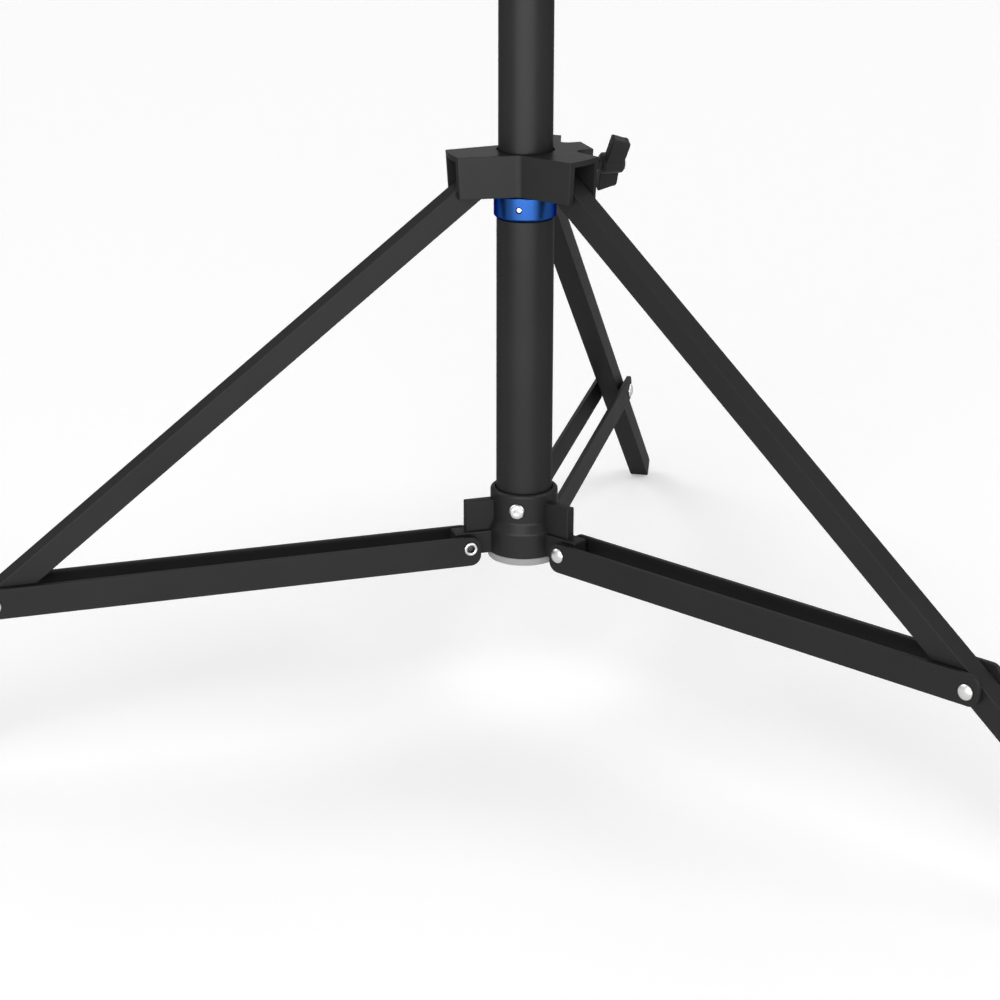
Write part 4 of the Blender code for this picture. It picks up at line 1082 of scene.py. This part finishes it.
def collar(node, tube_r, riser_r, body, knob_body):
    """A collar round a tube's top, with the bush and the clamp that it holds."""
    bottom, top = heights(node)
    shoulder = bottom + COLLAR_SOCKET
    outer = tube_r + RUNNING_GAP + COLLAR_WALL
    waist = outer - COLLAR_LIP
    bush_r = riser_r + RUNNING_GAP
    guide_r = bush_r + BUSH_WALL + RUNNING_GAP
    clamp_z = shoulder + COLLAR_GUIDE / 2
    boss_end = outer + COLLAR_BOSS_REACH
    socket_r = tube_r + RUNNING_GAP
    shape = turned([
        (outer - COLLAR_ROUND, top), (outer, top - COLLAR_ROUND), (outer, top - COLLAR_GUIDE),
        (waist, top - COLLAR_GUIDE - COLLAR_LIP), (waist, bottom + COLLAR_BAND + COLLAR_LIP),
        (outer, bottom + COLLAR_BAND), (outer, bottom),
        (socket_r, bottom), (socket_r, shoulder), (guide_r, shoulder), (guide_r, top),
    ])
    soften(shape, COLLAR_EDGE, sharp=20.0)
    round_boss = soften(rod(COLLAR_BOSS_R, guide_r + COLLAR_BOSS_SUNK, boss_end, steps=64), COLLAR_BOSS_EDGE)
    moved(round_boss, OUTWARDS, at_height(clamp_z), towards(KNOB_AZIMUTH))
    shape = cut(joined(shape, round_boss), clamp_hole(clamp_z, boss_end + OVERCUT))
    piece(node + "_cast", moved(shape, ON_COLUMN), CASTING_COAT, body, node)
    liner(node + "_bush", node + "_guide_bush", bush_r, clamp_z, body)
    clamp(node, clamp_z, riser_r, boss_end, body, knob_body)


collar("collar_1", TUBE_R, RISER_1_R, "column", "knob_1")
collar("collar_2", RISER_1_R, RISER_2_R, "riser_1", "knob_2")

# Risers: the two sliding tubes, coated like the base tube. Each rides on the air under a black piston with a
# rubber ring, and the upper one ends in the standard steel spigot, with its groove for a lamp's screw.
PISTON_HEIGHT = 16.0 * MM
SEAL_FROM = 5.7 * MM
SEAL_TO = 10.3 * MM
SEAL_DEPTH = 1.4 * MM
SEAL_EDGE = 0.5 * MM
PISTON_BLEED_R = 0.8 * MM
PISTON_EDGE = 0.25 * MM
SPIGOT_R = 7.94 * MM
SPIGOT_NECK_R = 6.6 * MM
SPIGOT_NECK_Z = 15.0 * MM
SPIGOT_NECK_HEIGHT = 7.0 * MM
SPIGOT_NECK_SLOPE = 1.0 * MM
SPIGOT_FLANGE = 5.0 * MM
SPIGOT_CHAMFER = 1.0 * MM
SPIGOT_EDGE = 0.3 * MM


def riser(number, tube_r, housing_r):
    """One sliding tube, with the piston and the seal at its foot."""
    body = f"riser_{number}"
    low, high = heights(body + "_tube")
    inner = tube_r - TUBE_WALL
    sliding = moved(soften(pipe(tube_r, inner, low, high), TUBE_EDGE), ON_COLUMN)
    piece(body + "_coated", sliding, POWDER_COAT, body, body + "_tube")

    low, high = heights(body + "_piston")
    face = housing_r - TUBE_WALL - RUNNING_GAP
    plug_r = inner - RUNNING_GAP
    piston = turned([
        (plug_r, high), (plug_r, low + PISTON_HEIGHT), (face, low + PISTON_HEIGHT), (face, low + SEAL_TO),
        (face - SEAL_DEPTH, low + SEAL_TO), (face - SEAL_DEPTH, low + SEAL_FROM), (face, low + SEAL_FROM),
        (face, low), (PISTON_BLEED_R, low), (PISTON_BLEED_R, high),
    ])
    moved(soften(piston, PISTON_EDGE, segments=2), ON_COLUMN)
    piece(body + "_air_piston", piston, BLACK_PLASTIC, body, body + "_piston")

    low, high = heights(body + "_piston_seal")
    groove = face - SEAL_DEPTH + RUNNING_GAP
    seal = moved(soften(pipe(face, groove, low, high), SEAL_EDGE, segments=4), ON_COLUMN)
    piece(body + "_seal_ring", seal, RUBBER, body, body + "_piston_seal")


riser(1, RISER_1_R, TUBE_R)
riser(2, RISER_2_R, RISER_1_R)

low, high = heights("spigot")
seat = heights("riser_2_tube")[1] + RUNNING_GAP
flange = seat + SPIGOT_FLANGE
neck = flange + SPIGOT_NECK_Z
neck_top = neck + SPIGOT_NECK_HEIGHT
stem_r = RISER_2_R - TUBE_WALL - RUNNING_GAP
spigot = turned(
    [
        (0, high), (SPIGOT_R - SPIGOT_CHAMFER, high), (SPIGOT_R, high - SPIGOT_CHAMFER), (SPIGOT_R, neck_top),
        (SPIGOT_NECK_R, neck_top - SPIGOT_NECK_SLOPE), (SPIGOT_NECK_R, neck + SPIGOT_NECK_SLOPE),
        (SPIGOT_R, neck), (SPIGOT_R, flange), (RISER_2_R, flange), (RISER_2_R, seat), (stem_r, seat),
        (stem_r, low), (0, low),
    ],
    closed=False,
)
moved(soften(spigot, SPIGOT_EDGE), ON_COLUMN)
piece("lamp_spigot", spigot, PLATED_STEEL, "riser_2", "spigot")
